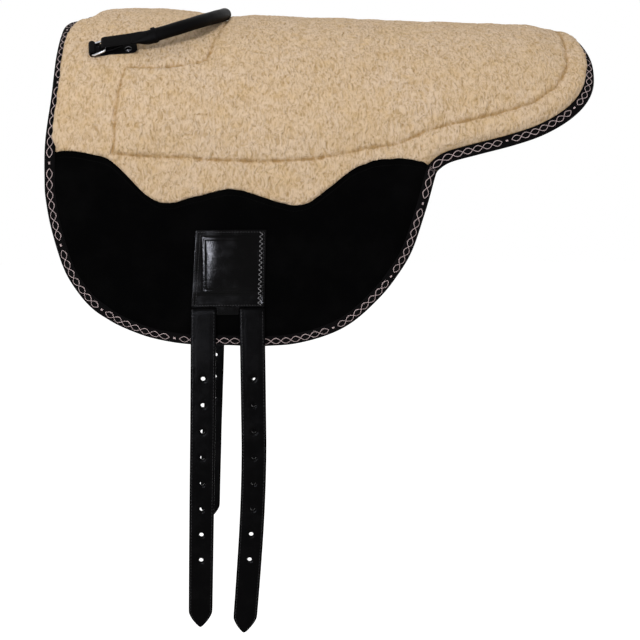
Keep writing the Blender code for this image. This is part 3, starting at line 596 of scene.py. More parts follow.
@dataclass(frozen=True)
class FleecePile:
    """Cream curly fleece, with painted shade between its curls, in the seam and at the tape's edge."""

    light: Colour = (0.82, 0.613, 0.408)
    # Colour of the painted shade between curls, in the seam and at the tape
    deep: Colour = (0.46, 0.283, 0.112)
    pale: Colour = (0.86, 0.675, 0.509)
    honey: Colour = (0.755, 0.526, 0.281)

    def make(self) -> bpy.types.Material:
        """Build the material."""
        bench = Bench("fleece_pile")
        standing = bench.curled(bench.stretched((1.1, 0.5, 0.5)), 75, 9 * MM)
        tuft = bench.cells(260, standing)
        lock = bench.noise(360, 2, 0.55, standing)
        curl = bench.noise(330, 2, 0.5, standing)
        strand = bench.noise(900, 2, 0.6, standing)
        blotch = bench.noise(16, 3)
        warm = bench.noise(60, 4, 0.65)
        painted_hollow_shade = bench.lay(2)
        pits = curl.ramp(0.52, 0.75)
        # Painted shade in the pits and between the tufts and locks of the curls
        shade = (tuft.ramp(0.35, 0.9) * 0.32 + lock.ramp(0.40, 0.74) * 0.62 + pits * 0.32).both(1.0)
        body = bench.mix(blotch.ramp(0.35, 0.7) * 0.6, self.light, self.pale)
        body = bench.mix(warm.ramp(0.42, 0.75) * 0.7, body, self.honey)
        body = bench.mix(shade, body, self.deep)
        # Painted shade from the hollows, between curls, in the seam and at the tape, broken up by the locks
        sewn = painted_hollow_shade.ramp(0.06, 0.75) * (0.3 + lock * 1.25)
        colour = bench.mix(sewn.both(0.95), body, self.deep)
        height = lock * -1.3 + tuft * -0.8 + pits * -0.35 + strand * 0.25
        return bench.finish(
            Base_Color=colour, Roughness=0.95, Normal=bench.bump(height, 1.0, 1.8 * MM),
            Sheen_Weight=0.08, Sheen_Roughness=0.6, Specular_IOR_Level=0.1,
        )


@dataclass(frozen=True)
class SuedeNap:
    """Black suede with a short nap."""

    dark: Colour = (0.0010, 0.0010, 0.0011)
    worn: Colour = (0.0030, 0.0029, 0.0030)

    def make(self) -> bpy.types.Material:
        """Build the material."""
        bench = Bench("suede_nap")
        nap = bench.noise(900, 3, 0.65)
        brush = bench.noise(22, 4, 0.6)
        colour = bench.mix(brush.ramp(0.35, 0.75) * 0.6 + nap * 0.3, self.dark, self.worn)
        return bench.finish(
            Base_Color=colour, Roughness=0.96, Normal=bench.bump(nap + brush * 0.6, 0.5, 0.5 * MM),
            IOR=1.12, Specular_IOR_Level=0.1,
        )


@dataclass(frozen=True)
class Leather:
    """Black finished leather with fine grain and worn lighter spots."""

    name: str = "billet_leather"
    dark: Colour = (0.0011, 0.0010, 0.0012)
    worn: Colour = (0.0030, 0.0026, 0.0027)
    gloss: float = 0.24
    shine: float = 0.16
    bend: float = 1.15
    grain: float = 0.35

    def make(self) -> bpy.types.Material:
        """Build the material."""
        bench = Bench(self.name)
        grain = bench.cells(1100)
        pores = bench.noise(2400, 2)
        handling = bench.noise(45, 4, 0.6)
        scuff = bench.noise(130, 5, 0.7, bench.stretched((1.0, 1.0, 0.35)))
        colour = bench.mix(handling.ramp(0.4, 0.8) * 0.6 + scuff.ramp(0.62, 0.8) * 0.4, self.dark, self.worn)
        rough = handling.ramp(0.3, 0.8, self.gloss - 0.05, self.gloss + 0.12) + scuff.ramp(0.6, 0.8) * 0.12
        normal = bench.bump(grain + pores * 0.4, self.grain, 0.25 * MM)
        return bench.finish(
            Base_Color=colour, Roughness=rough, Normal=bench.bump(handling, 0.25, 1.0 * MM, normal),
            IOR=self.bend, Specular_IOR_Level=self.shine,
        )


@dataclass(frozen=True)
class WovenTape:
    """Black ribbed tape with a plaited line of pale thread woven along its face."""

    black: Colour = (0.0014, 0.0012, 0.0013)
    rib: Colour = (0.0044, 0.0038, 0.0042)
    pale: Colour = (0.80, 0.64, 0.64)
    centre: float = 7.6 * MM
    swing: float = 3.4 * MM
    repeat: float = 25.0 * MM
    group: int = 4
    thread: float = 0.42 * MM
    dot: float = 1.0 * MM

    def make(self) -> bpy.types.Material:
        """Build the material."""
        bench = Bench("woven_tape")
        along = bench.lay(0)
        across = bench.lay(1) - self.centre
        turn = 2 * math.pi / self.repeat
        wave = (along * turn).sine()
        plait = wave * self.swing
        line = abs(across - plait) < self.thread
        other = abs(across + plait) < self.thread
        length = self.repeat * self.group
        part = along.maths("MODULO", length)
        plaited = part < length - self.repeat / 2
        eye = (abs(wave) > 0.93) * (abs(across) < self.dot)
        weft = (along * (2 * math.pi / (1.1 * MM))).sine()
        motif = line.either(other) * plaited + eye * (1.0 - plaited)
        motif = motif * (weft > -0.75)
        ribs = weft.ramp(-1, 1)
        warp = (across * (2 * math.pi / (0.9 * MM))).sine()
        ground = bench.mix(ribs, self.black, self.rib)
        height = ribs + warp * 0.25 + motif * 1.2
        return bench.finish(
            Base_Color=bench.mix(motif, ground, self.pale), Roughness=0.78,
            Normal=bench.bump(height, 0.55, 0.35 * MM), IOR=1.15, Specular_IOR_Level=0.25,
        )


@dataclass(frozen=True)
class WovenCloth:
    """Plain woven cloth or webbing in one colour."""

    name: str
    dark: Colour
    light: Colour
    pitch: float = 1.4 * MM

    def make(self) -> bpy.types.Material:
        """Build the material."""
        bench = Bench(self.name)
        place = bench.place()
        turn = 2 * math.pi / self.pitch
        along = (bench.node("ShaderNodeSeparateXYZ", {}, {0: place}, 0) * turn).sine()
        down = (bench.node("ShaderNodeSeparateXYZ", {}, {0: place}, 2) * turn).sine()
        weave = (along * down).ramp(-1, 1)
        wear = bench.noise(30, 4)
        colour = bench.mix(weave * 0.6 + wear * 0.4, self.dark, self.light)
        return bench.finish(
            Base_Color=colour, Roughness=0.9, Normal=bench.bump(weave + wear * 0.5, 0.5, 0.4 * MM),
        )


@dataclass(frozen=True)
class OpenFoam:
    """Grey foam with open cells."""

    def make(self) -> bpy.types.Material:
        """Build the material."""
        bench = Bench("open_foam")
        cells = bench.cells(650)
        colour = bench.mix(cells.ramp(0.1, 0.8), (0.30, 0.30, 0.29), (0.17, 0.17, 0.165))
        return bench.finish(Base_Color=colour, Roughness=0.95, Normal=bench.bump(cells, 0.6, 0.5 * MM))


@dataclass(frozen=True)
class PolishedChrome:
    """Chrome with faint polishing marks."""

    name: str = "polished_chrome"
    dull: Colour = (0.36, 0.36, 0.37)
    bright: Colour = (0.62, 0.62, 0.63)

    def make(self) -> bpy.types.Material:
        """Build the material."""
        bench = Bench(self.name)
        marks = bench.noise(300, 4, 0.7)
        colour = bench.mix(marks, self.dull, self.bright)
        rough = marks.ramp(0.4, 0.8, 0.09, 0.22)
        return bench.finish(Base_Color=colour, Metallic=1.0, Roughness=rough)


@dataclass(frozen=True)
class WaxedThread:
    """Sewing thread."""

    name: str = "waxed_thread"
    dark: Colour = (0.004, 0.0037, 0.004)
    light: Colour = (0.020, 0.0187, 0.020)
    rough: float = 0.4
    shine: float = 0.25

    def make(self) -> bpy.types.Material:
        """Build the material."""
        bench = Bench(self.name)
        twist = bench.noise(1500, 2)
        colour = bench.mix(twist, self.dark, self.light)
        return bench.finish(
            Base_Color=colour, Roughness=self.rough, Normal=bench.bump(twist, 0.4, 0.2 * MM),
            Specular_IOR_Level=self.shine,
        )


class Finish(Enum):
    """The pad's finishes."""

    FLEECE = FleecePile()
    SUEDE = SuedeNap()
    TAPE = WovenTape()
    BILLET = Leather()
    PLATE = Leather("plate_leather", gloss=0.15, shine=0.36, grain=0.13)
    HANDLE = Leather("handle_leather", gloss=0.5, shine=0.3, grain=0.45)
    BACKING = Leather("backing_leather", gloss=0.6)
    LINING = WovenCloth("lining_cloth", (0.010, 0.010, 0.011), (0.030, 0.030, 0.032))
    WEBBING = WovenCloth("webbing_weave", (0.012, 0.012, 0.013), (0.04, 0.04, 0.043), 2.0 * MM)
    FOAM = OpenFoam()
    CHROME = PolishedChrome()
    # The rivets' chrome is coloured almost black, a painted dark reflection of the surroundings
    RIVET = PolishedChrome("rivet_chrome_painted_dark", (0.03, 0.03, 0.033), (0.07, 0.07, 0.075))
    THREAD = WaxedThread()
    BRIGHT_THREAD = WaxedThread("bright_thread", (0.05, 0.05, 0.052), (0.34, 0.33, 0.34), 0.4, 0.5)
    DULL_THREAD = WaxedThread("dull_thread", (0.0025, 0.0025, 0.0025), (0.006, 0.006, 0.006), 0.9, 0.02)


class Workshop:
    """Turns point and face arrays into pieces of the pad."""

    def __init__(self) -> None:
        """Start with an empty collection of pieces."""
        self.finished: dict[Finish, bpy.types.Material] = {}
        self.collection = bpy.data.collections.new("bareback_pad_looks")
        bpy.context.scene.collection.children.link(self.collection)

    def piece(
        self, name: str, points: np.ndarray, faces: Sequence[Sequence[int]], finish: Finish, body: str | None,
        slot: str, lay: np.ndarray | None = None, turned_out: bool = True,
    ) -> bpy.types.Object:
        """Make a smooth shaded piece that rides on a body.

        Args:
            name: The piece's name.
            points: One row of coordinates for each vertex.
            faces: Vertex numbers of each face.
            finish: Its finish.
            body: The body that it rides on, or None for a piece that is left unattached.
            slot: The record's material slot; not used.
            lay: Its own coordinates for weave and a mask of painted shade, one row for each vertex.
            turned_out: Whether its faces still have to be pointed out.

        Returns:
            The new object.
        """
        mesh = bpy.data.meshes.new(name)
        mesh.from_pydata(points.tolist(), [], [tuple(int(i) for i in face) for face in faces])
        if lay is not None:
            attribute = mesh.attributes.new("lay", "FLOAT_VECTOR", "POINT")
            attribute.data.foreach_set("vector", lay.astype(np.float32).ravel())
        mesh.validate()
        mesh.shade_smooth()
        if finish not in self.finished:
            self.finished[finish] = finish.value.make()
        mesh.materials.append(self.finished[finish])
        made = bpy.data.objects.new(name, mesh)
        self.collection.objects.link(made)
        if body is not None:
            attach(made, body)
        if turned_out:
            self.turn_out(made)
        LOG.info("%s: %d points", name, len(points))
        return made

    def turn_out(self, made: bpy.types.Object) -> None:
        """Point a closed piece's faces out."""
        bm = bmesh.new()
        bm.from_mesh(made.data)
        bmesh.ops.recalc_face_normals(bm, faces=bm.faces[:])
        bm.to_mesh(made.data)
        bm.free()


Skin = tuple[np.ndarray, np.ndarray]


def rim_edges(faces: np.ndarray) -> np.ndarray:
    """Edges of a triangulated skin that only one face uses, in that face's order."""
    edges = np.vstack([faces[:, (0, 1)], faces[:, (1, 2)], faces[:, (2, 0)]])
    keys = np.sort(edges, axis=1)
    _keys, first, counts = np.unique(keys, axis=0, return_index=True, return_counts=True)
    return edges[first[counts == 1]]


class Cutter:
    """Cuts closed layers out of a flat pattern."""

    def __init__(self, shop: Workshop) -> None:
        """Work for a workshop.

        Args:
            shop: Where the pieces are made.
        """
        self.shop = shop

    def skin(self, loops: Sequence[Outline], runs: Sequence[Outline], keep: Keep, spacing: float) -> Skin:
        """Triangulate the kept part of the pattern.

        Args:
            loops: Closed outlines to follow.
            runs: Open lines to follow.
            keep: Tells which places belong to the layer.
            spacing: Distance between the points away from the outlines.

        Returns:
            Pattern points and the triangles between them.
        """
        fixed = np.vstack(list(loops) + list(runs))
        low = fixed.min(axis=0)
        high = fixed.max(axis=0)
        row = spacing * math.sqrt(3) / 2
        grid_x, grid_v = np.meshgrid(np.arange(low[0], high[0], spacing), np.arange(low[1], high[1], row))
        grid_x[1::2] += spacing / 2
        x = grid_x.ravel()
        v = grid_v.ravel()
        held = keep(x, v)
        x = x[held]
        v = v[held]
        clear = Measure(fixed).away(x, v) > spacing * 0.6
        points = [Vector(p) for p in fixed]
        edges = []
        start = 0
        for line, closed in [(loop, True) for loop in loops] + [(run, False) for run in runs]:
            count = len(line)
            last = count if closed else count - 1
            edges += [(start + i, start + (i + 1) % count) for i in range(last)]
            start += count
        points += [Vector(p) for p in zip(x[clear], v[clear])]
        corners, _edges, faces, *_origins = delaunay_2d_cdt(points, edges, [], 0, 0.02 * MM)
        flat = np.array([tuple(c) for c in corners])
        kept = np.array([f for f in faces if len(f) == 3])
        middle = flat[kept].mean(axis=1)
        kept = kept[keep(middle[:, 0], middle[:, 1])]
        used, packed = np.unique(kept, return_inverse=True)
        return flat[used], packed.reshape(kept.shape)

    def layer(
        self, name: str, skins: tuple[Skin, Skin], to_place: Callable[..., np.ndarray], low: HeightOf,
        high: HeightOf, finish: Finish, body: str, slot: str, painted_hollow_shade: HeightOf | None = None,
        spill: Callable[[np.ndarray, np.ndarray], tuple[np.ndarray, np.ndarray]] | None = None,
    ) -> bpy.types.Object:
        """Close a layer between an upper and a lower skin.

        Args:
            name: The piece's name.
            skins: The upper and the lower skin, which share their rim.
            to_place: Turns x, v and h into coordinates.
            low: Height of the lower skin.
            high: Height of the upper skin.
            finish: The piece's finish.
            body: The body that it rides on.
            slot: The record's material slot.
            painted_hollow_shade: How much painted shade each upper point gets, most between curls, in a seam
                and at the tape, from 0 to 1.
            spill: Moves the upper skin's pattern points before they are laid.

        Returns:
            The closed piece.
        """
        (upper, upper_faces), (lower, lower_faces) = skins
        ux, uv = upper[:, 0], upper[:, 1]
        top = high(ux, uv)
        sx, sv = spill(ux, uv) if spill else (ux, uv)
        points = np.vstack([to_place(sx, sv, top), to_place(lower[:, 0], lower[:, 1], low(*lower.T))])
        count = len(upper)
        rim = rim_edges(upper_faces)
        tree = indexed(lower)
        under = {int(i): count + tree.find((*upper[int(i)], 0))[1] for i in np.unique(rim)}
        faces = [tuple(face) for face in upper_faces]
        faces += [tuple(count + i for i in reversed(tuple(face))) for face in lower_faces]
        faces += [(int(b), int(a), under[int(a)], under[int(b)]) for a, b in rim]
        shade = np.zeros(len(points))
        if painted_hollow_shade is not None:
            shade[:count] = painted_hollow_shade(ux, uv)
        lay = np.stack([np.concatenate([ux, lower[:, 0]]), np.concatenate([uv, lower[:, 1]]), shade], axis=1)
        return self.shop.piece(name, points, faces, finish, body, slot, lay)


def swept(rings: Sequence[np.ndarray], joined: bool = False) -> tuple[np.ndarray, list[tuple[int, ...]]]:
    """Join rings of points into a closed skin.

    Args:
        rings: Rings with the same number of points.
        joined: Whether the last ring meets the first. Otherwise both are capped.

    Returns:
        The points and faces.
    """
    sides = len(rings[0])
    count = len(rings)
    faces: list[tuple[int, ...]] = []
    for ring in range(count if joined else count - 1):
        here, after = ring * sides, (ring + 1) % count * sides
        for side in range(sides):
            beside = (side + 1) % sides
            faces.append((here + side, here + beside, after + beside, after + side))
    if not joined:
        last = (count - 1) * sides
        faces.append(tuple(range(sides))[::-1])
        faces.append(tuple(range(last, last + sides)))
    return np.vstack(rings), faces


def thread_shape() -> tuple[np.ndarray, list[tuple[int, ...]]]:
    """A unit stitch: a low rounded grain along X that rests on the XY plane."""
    rings = ((-0.5, 0.25), (-0.36, 0.85), (0.0, 1.0), (0.36, 0.85), (0.5, 0.25))
    turn = turns(6)
    return swept([
        np.stack([np.full(len(turn), along), wide * np.cos(turn), wide * np.sin(turn)], axis=1)
        for along, wide in rings
    ])


@dataclass(frozen=True)
class Stitching:
    """A row of stitches."""

    pitch: float = 3.6 * MM
    length: float = 2.9 * MM
    radius: float = 0.34 * MM
    finish: Finish = Finish.THREAD

    def sew(
        self, shop: Workshop, name: str, lines: Sequence[np.ndarray], outward: Sequence[np.ndarray],
        body: str,
    ) -> bpy.types.Object:
        """Lay stitches along lines.

        Args:
            shop: The workshop.
            name: The piece's name.
            lines: Open or closed lines of coordinates, one row for each point.
            outward: The direction off the surface at each line's points.
            body: The body that the stitches ride on.

        Returns:
            One piece that holds all the stitches.
        """
        grain, grain_faces = thread_shape()
        points: list[np.ndarray] = []
        faces: list[tuple[int, ...]] = []
        for line, off in zip(lines, outward):
            both = resample(np.hstack([line, off]), self.pitch)
            places = (both[1:, :3] + both[:-1, :3]) / 2
            ahead = unit(both[1:, :3] - both[:-1, :3])
            up = both[1:, 3:]
            across = unit(np.cross(up, ahead))
            up = np.cross(ahead, across)
            for place, along, side, rise in zip(places, ahead, across, up):
                start = len(points) * len(grain)
                points.append(
                    place + grain[:, :1] * along * self.length + grain[:, 1:2] * side * self.radius
                    + grain[:, 2:] * rise * self.radius
                )
                faces += [tuple(start + i for i in face) for face in grain_faces]
        return shop.piece(name, np.vstack(points), faces, self.finish, body, "leather", turned_out=False)


@dataclass
class SoftLayers:
    """Lining, foam, webbing, seat foam, fleece and suede, laid over the back."""

    shop: Workshop
    pattern: Pattern
    ceiling: HeightOf
    heights: Heights = field(default_factory=Heights)
    body: str = "pad"
    fine: float = 1.9 * MM
    medium: float = 4.5 * MM
    coarse: float = 12.0 * MM
    curl: float = 5.6 * MM
    curl_rise: float = 1.5 * MM
    tuft: float = 17.0 * MM
    tuft_rise: float = 0.9 * MM
    groove_width: float = 2.1 * MM
    groove_depth: float = 4.3 * MM
    pit: float = 7.0 * MM
    roll: float = 4.5 * MM
    spill: float = 1.3 * MM
    lip_roll: float = 6.0 * MM
    lap_run: float = 14.0 * MM
    panel_joint: float = 0.4 * MM
    puff_limit: float = 3.0 * MM
    puff_spacing: float = 9.0 * MM
    hem: float = 8.0 * MM
    hem_rise: float = 0.5 * MM
    # Where the pile laps over the tape: distance past the tape's inner edge and height above the horse
    lap_steps: tuple = (0.0, 0.3 * MM, 0.9 * MM, 1.6 * MM, 3.2 * MM, 6.0 * MM, 12.0 * MM)
    lap_heights: tuple = (5.5 * MM, 8.3 * MM, 8.5 * MM, 10.0 * MM, 11.4 * MM, 12.6 * MM, 13.4 * MM)

    def __post_init__(self) -> None:
        """Set up the cutter and the lines that the layers share."""
        self.cutter = Cutter(self.shop)
        self.place = self.pattern.back.drape
        self.far_wave = self.pattern.wave * (1, -1)
        self.puff: tuple[KDTree, np.ndarray] | None = None

    def in_body(self, x: np.ndarray, v: np.ndarray) -> np.ndarray:
        """Which places lie in the pad's body."""
        return inside(self.pattern.body, x, v)

    def in_fleece(self, x: np.ndarray, v: np.ndarray) -> np.ndarray:
        """Which places the fleece covers."""
        return self.in_body(x, v) & ~self.pattern.under_wave(x, v)

    def web_outline(self, slack: float) -> Outline:
        """Outline of the webbing and its two backings, grown by a slack."""
        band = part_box("billet_webbing")
        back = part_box("billet_backing_left")
        half = (band[1].x - band[0].x) / 2 + slack
        wide = (back[1].x - back[0].x) / 2 + slack
        arc = self.pattern.back.radius * (math.pi / 2 - 1)
        neck = arc - back[1].z - slack
        foot = arc - back[0].z + slack
        quarter = [(half, 0.0), (half, neck), (wide, neck), (wide, foot)]
        near = quarter + [(-x, v) for x, v in reversed(quarter)]
        return resample(np.array(near + [(x, -v) for x, v in reversed(near[1:-1])]), self.medium, True)

    def make_lining(self) -> None:
        """The woven cloth that lies on the horse."""
        h = self.heights
        skin = self.cutter.skin([self.pattern.body], [], self.in_body, self.coarse / 2)

        def low(x: np.ndarray, v: np.ndarray) -> np.ndarray:
            return 0.35 * MM * waves(x, v, 38 * MM, SEED)

        made = self.slab("lining_sheet", skin, low, level(h.lining), Finish.LINING, "lining")
        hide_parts("lining")
        size = np.ptp(self.pattern.body, axis=0)

    def slab(
        self, name: str, skin: Skin, low: HeightOf, high: HeightOf, finish: Finish, slot: str,
    ) -> bpy.types.Object:
        """Close a layer between two heights over the same skin."""
        return self.cutter.layer(name, (skin, skin), self.place, low, high, finish, self.body, slot)

    def make_foam(self) -> None:
        """The pad's foam, with the channel for the webbing, and the seat's extra foam."""
        h = self.heights
        floor_loop = self.web_outline(h.gap)
        rim_loop = self.web_outline(h.gap + 1.5 * MM)
        channel = Measure(resample(floor_loop, 1.5 * MM, True))

        def high(x: np.ndarray, v: np.ndarray) -> np.ndarray:
            top = h.foam_top(self.pattern.depth(x, v))
            out = np.where(inside(floor_loop, x, v), 0.0, channel.away(x, v))
            sunk = h.flat_top() - h.web_drop - h.gap
            return sunk + (top - sunk) * smoothstep(0.1 * MM, 1.5 * MM, out)

        loops = [self.pattern.body, floor_loop, rim_loop]
        skin = self.cutter.skin(loops, [], self.in_body, self.coarse / 2)
        made = self.slab("foam_body", skin, level(h.foam_low()), high, Finish.FOAM, "foam")
        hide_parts("foam_core")

        base = h.flat_top() + h.gap
        seat_loop = self.seat_loop()

        def seat_high(x: np.ndarray, v: np.ndarray) -> np.ndarray:
            return base + h.crown(self.pattern.past_seam(x, v)) - h.gap * 0.5

        skin = self.cutter.skin([seat_loop], [], within(seat_loop), self.coarse / 2)
        made = self.slab("seat_padding", skin, level(base), seat_high, Finish.FOAM, "foam")
        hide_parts("seat_foam")

    def seat_loop(self) -> Outline:
        """Outline of the seat's extra foam, inside the seam."""
        seam = self.pattern.seam
        moved = seam + inward(seam, 3) * self.heights.seat_inset
        good = inside(seam, moved[:, 0], moved[:, 1])
        far = self.pattern.from_seam.away(moved[:, 0], moved[:, 1]) > self.heights.seat_inset * 0.93
        return resample(moved[good & far], self.medium, True)

    def make_webbing(self) -> None:
        """The girth webbing over the back, and the leather that it is sewn to on each side."""
        h = self.heights
        top = h.flat_top()
        outline = self.web_outline(0.0)
        arc = self.pattern.back.radius * (math.pi / 2 - 1)
        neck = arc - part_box("billet_backing_left")[1].z
        joint = 0.3 * MM

        low = level(top - h.web_drop)
        cut = np.array([(x, neck) for x in np.linspace(-0.06, 0.06, 41)])
        parts = (
            ("web_band", "billet_webbing", "webbing", Finish.WEBBING, lambda v: np.abs(v) < neck - joint),
            ("web_backing_left", "billet_backing_left", "leather", Finish.BACKING, lambda v: v > neck),
            ("web_backing_right", "billet_backing_right", "leather", Finish.BACKING, lambda v: -v > neck),
        )
        for name, node, slot, finish, holds in parts:
            def keep(x: np.ndarray, v: np.ndarray, holds: Callable = holds) -> np.ndarray:
                return inside(outline, x, v) & holds(v)

            cuts = [cut - (0, joint), (cut - (0, joint)) * (1, -1), cut, cut * (1, -1)]
            skin = self.cutter.skin([outline], cuts, keep, self.medium)
            made = self.slab(name, skin, low, level(top), finish, slot)
            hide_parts(node)

    def simulate_puff(self) -> None:
        """Blow up the sewn-down cover as cloth, to find how it swells between its seams."""
        pattern = self.pattern
        runs = [pattern.wave, self.far_wave, np.vstack([pattern.seam, pattern.seam[:1]])[::3]]
        flat, faces = self.cutter.skin([pattern.body[::3]], runs, self.in_fleece, self.puff_spacing)
        x, v = flat.T
        rest = self.place(x, v, np.full(len(x), self.heights.flat_top()))
        mesh = bpy.data.meshes.new("cover_trial")
        mesh.from_pydata(rest.tolist(), [], faces.tolist())
        trial = bpy.data.objects.new("cover_trial", mesh)
        bpy.context.scene.collection.objects.link(trial)
        held = (pattern.depth(x, v) < self.heights.lip) | (pattern.from_seam.away(x, v) < SEWN)
        held |= pattern.from_wave.away(x, v) < SEWN
        group = trial.vertex_groups.new(name="sewn")
        group.add([int(i) for i in np.flatnonzero(held)], 1.0, "REPLACE")
        cloth = trial.modifiers.new("swell", "CLOTH")
        for key, value in SWELLING.items():
            setattr(cloth.settings, key, value)
        cloth.settings.vertex_group_mass = group.name
        cloth.settings.effector_weights.gravity = 0
        cloth.collision_settings.use_collision = False
        scene = bpy.context.scene
        for number in range(1, SWELL_FRAMES + 1):
            scene.frame_set(number)
        graph = bpy.context.evaluated_depsgraph_get()
        swollen = trial.evaluated_get(graph).to_mesh()
        moved = np.empty(len(swollen.vertices) * 3)
        swollen.vertices.foreach_get("co", moved)
        rise = ((moved.reshape(-1, 3) - rest) * pattern.back.outward(v)).sum(axis=1)
        scene.frame_set(1)
        bpy.data.objects.remove(trial, do_unlink=True)
        LOG.info("cover swells by %.2f to %.2f mm", rise.min() / MM, rise.max() / MM)
        rise = np.clip(rise, 0, self.puff_limit)
        self.puff = (indexed(flat), rise)

    def lap(self, x: np.ndarray, v: np.ndarray) -> np.ndarray:
        """How far the pile laps over the tape: along the front and round the loin's end."""
        side = np.abs(v) / MM
        front = np.interp(side, (60, 100, 246, 258), (1.8, 5.8, 6.0, 0.0)) * (x < -150 * MM)
        loin = np.interp(side, (60, 105, 140, 175), (9.5, 7.0, 2.5, 0.0)) * (x > 400 * MM)
        return (front + loin) * MM * (1 + 0.15 * waves(x, v, 6 * MM, SEED + 10))

    def puffed(self, x: np.ndarray, v: np.ndarray) -> np.ndarray:
        """How far the cover swells at each place."""
        if self.puff is None:
            return np.zeros(len(x))
        tree, rise = self.puff
        swell = np.empty(len(x))
        for number, (a, b) in enumerate(zip(x, v)):
            near = tree.find_n((a, b, 0), 4)
            weights = [1 / (away * away + 4e-6) for _place, _index, away in near]
            total = sum(w * rise[index] for w, (_place, index, _away) in zip(weights, near))
            swell[number] = total / sum(weights)
        return swell

    def make_fleece(self) -> None:
        """The curly pile over the whole top, pressed at the tape, the seam and the suede."""
        pattern, h = self.pattern, self.heights
        self.simulate_puff()
        seam_run = np.vstack([pattern.seam, pattern.seam[:1]])
        rolls = [pattern.inset(h.lip + past) for past in self.lap_steps[1:4]]
        runs = [pattern.wave, self.far_wave, seam_run]
        runs += [np.vstack([roll, roll[:1]]) for roll in rolls]
        upper = self.cutter.skin([pattern.body], runs, self.in_fleece, self.fine)
        lower = self.cutter.skin([pattern.body], runs, self.in_fleece, self.coarse)
        facts: dict[int, tuple[np.ndarray, ...]] = {}

        def measured(x: np.ndarray, v: np.ndarray) -> tuple[np.ndarray, ...]:
            if len(x) not in facts:
                facts[len(x)] = (pattern.depth(x, v), pattern.past_seam(x, v), pattern.from_wave.away(x, v))
            return facts[len(x)]

        def groove(x: np.ndarray, v: np.ndarray, seam: np.ndarray) -> np.ndarray:
            pits = 0.66 + 0.34 * waves(x, v, self.pit, SEED + 5)
            width = self.groove_width * (1 + 0.35 * waves(x, v, 5 * MM, SEED + 6))
            return bell(seam, width) * pits

        def low(x: np.ndarray, v: np.ndarray) -> np.ndarray:
            depth, seam, _wave = measured(x, v)
            return h.foam_top(depth) + h.gap + h.crown(seam)

        def curls(x: np.ndarray, v: np.ndarray) -> np.ndarray:
            wander = 1.6 * MM
            a = x + wander * waves(x, v, 7 * MM, SEED + 1)
            b = v + wander * waves(x, v, 7 * MM, SEED + 2)
            return 0.7 * lumps(a, b, self.curl, SEED + 3) + 0.3 * lumps(a, b, self.curl * 0.55, SEED + 4)

        def high(x: np.ndarray, v: np.ndarray) -> np.ndarray:
            depth, seam, wave = measured(x, v)
            by_tape = smoothstep(h.lip - 0.5 * MM, h.lip + self.lip_roll, depth)
            near_wave = np.clip(wave / self.roll, 0, 1)
            by_wave = 0.38 + 0.62 * np.sqrt(near_wave * (2 - near_wave))
            full = h.pile + (h.seat_pile - h.pile) * smoothstep(0, h.seat_inset, seam)
            soft = full + self.puffed(x, v) + self.tuft_rise * waves(x, v, self.tuft, SEED + 7)
            soft += self.curl_rise * (curls(x, v) - 0.35)
            soft -= self.groove_depth * groove(x, v, seam)
            top = low(x, v) + h.pressed_pile + (soft * by_wave - h.pressed_pile) * by_tape
            past = depth - h.lip
            over = np.interp(past, self.lap_steps, self.lap_heights)
            over += self.curl_rise * (curls(x, v) - 0.35) * smoothstep(1.2 * MM, 5 * MM, past)
            share = np.clip(self.lap(x, v) / (3 * MM), 0, 1) * (past > 0) * (past < self.lap_steps[-1])
            top += np.clip(over - top, 0, None) * share
            return np.maximum(np.minimum(top, self.ceiling(x, v)), low(x, v) + 0.3 * MM)

        # Painted shade: how dark the pile is painted between curls, in the seam's groove, beside the seam and
        # at the tape
        def painted_hollow_shade(x: np.ndarray, v: np.ndarray) -> np.ndarray:
            depth, seam, _wave = measured(x, v)
            # Painted shade where the pile is pressed down at the tape, less where it laps over it
            by_tape = 0.5 * (1 - smoothstep(h.lip, h.lip + 2.5 * MM, depth))
            by_tape *= 1 - np.clip(self.lap(x, v) / (3 * MM), 0, 1)
            # Painted shade between the curls
            between = 0.26 * (1 - smoothstep(0.0, 0.45, curls(x, v)))
            # Painted shade in a band inside the seat beside the seam, where the pile bends over it
            seam_side_shade = 0.22 * np.exp(-seam / (9 * MM)) * (seam > 0)
            return np.clip(between + seam_side_shade + 0.8 * groove(x, v, seam) ** 1.2 + by_tape, 0, 1)

        def spill(x: np.ndarray, v: np.ndarray) -> tuple[np.ndarray, np.ndarray]:
            depth, _seam, wave = measured(x, v)
            near = np.clip(1 - wave / self.roll, 0, 1)
            ragged = 0.7 + 0.3 * waves(x, v, 6 * MM, SEED + 8)
            past = depth - h.lip
            start, end = self.lap_steps[1:3]
            pushed = smoothstep(start, end, past) * (1 - smoothstep(end, self.lap_run, past))
            shift = (self.lap(x, v) * pushed)[:, None] * pattern.to_edge(x, v)
            return x + shift[:, 0], v + shift[:, 1] + np.sign(v) * self.spill * near * ragged

        made = self.cutter.layer(
            "fleece_pile", (upper, lower), self.place, low, high, Finish.FLEECE, self.body, "fleece",
            painted_hollow_shade, spill,
        )
        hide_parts("fleece_cover")

    def make_suede(self) -> None:
        """A suede panel on each flap, with a sewn hem along its wavy top edge."""
        pattern, h = self.pattern, self.heights

        def low(x: np.ndarray, v: np.ndarray) -> np.ndarray:
            return h.foam_top(pattern.depth(x, v)) + h.gap

        def high(x: np.ndarray, v: np.ndarray) -> np.ndarray:
            depth = pattern.depth(x, v)
            wave = pattern.from_wave.away(x, v)
            hem = self.hem_rise * bell(wave, 2.6 * MM, self.hem / 2)
            full = smoothstep(h.lip, h.shoulder, depth)
            ripple = 0.35 * MM * waves(x, v, 45 * MM, SEED + 9) * full
            return h.foam_top(depth) + h.gap + h.suede + (hem * full + ripple)

        for side, name in ((1, "left"), (-1, "right")):
            wave = pattern.wave + (0, self.panel_joint)
            run = wave if side > 0 else wave * (1, -1)

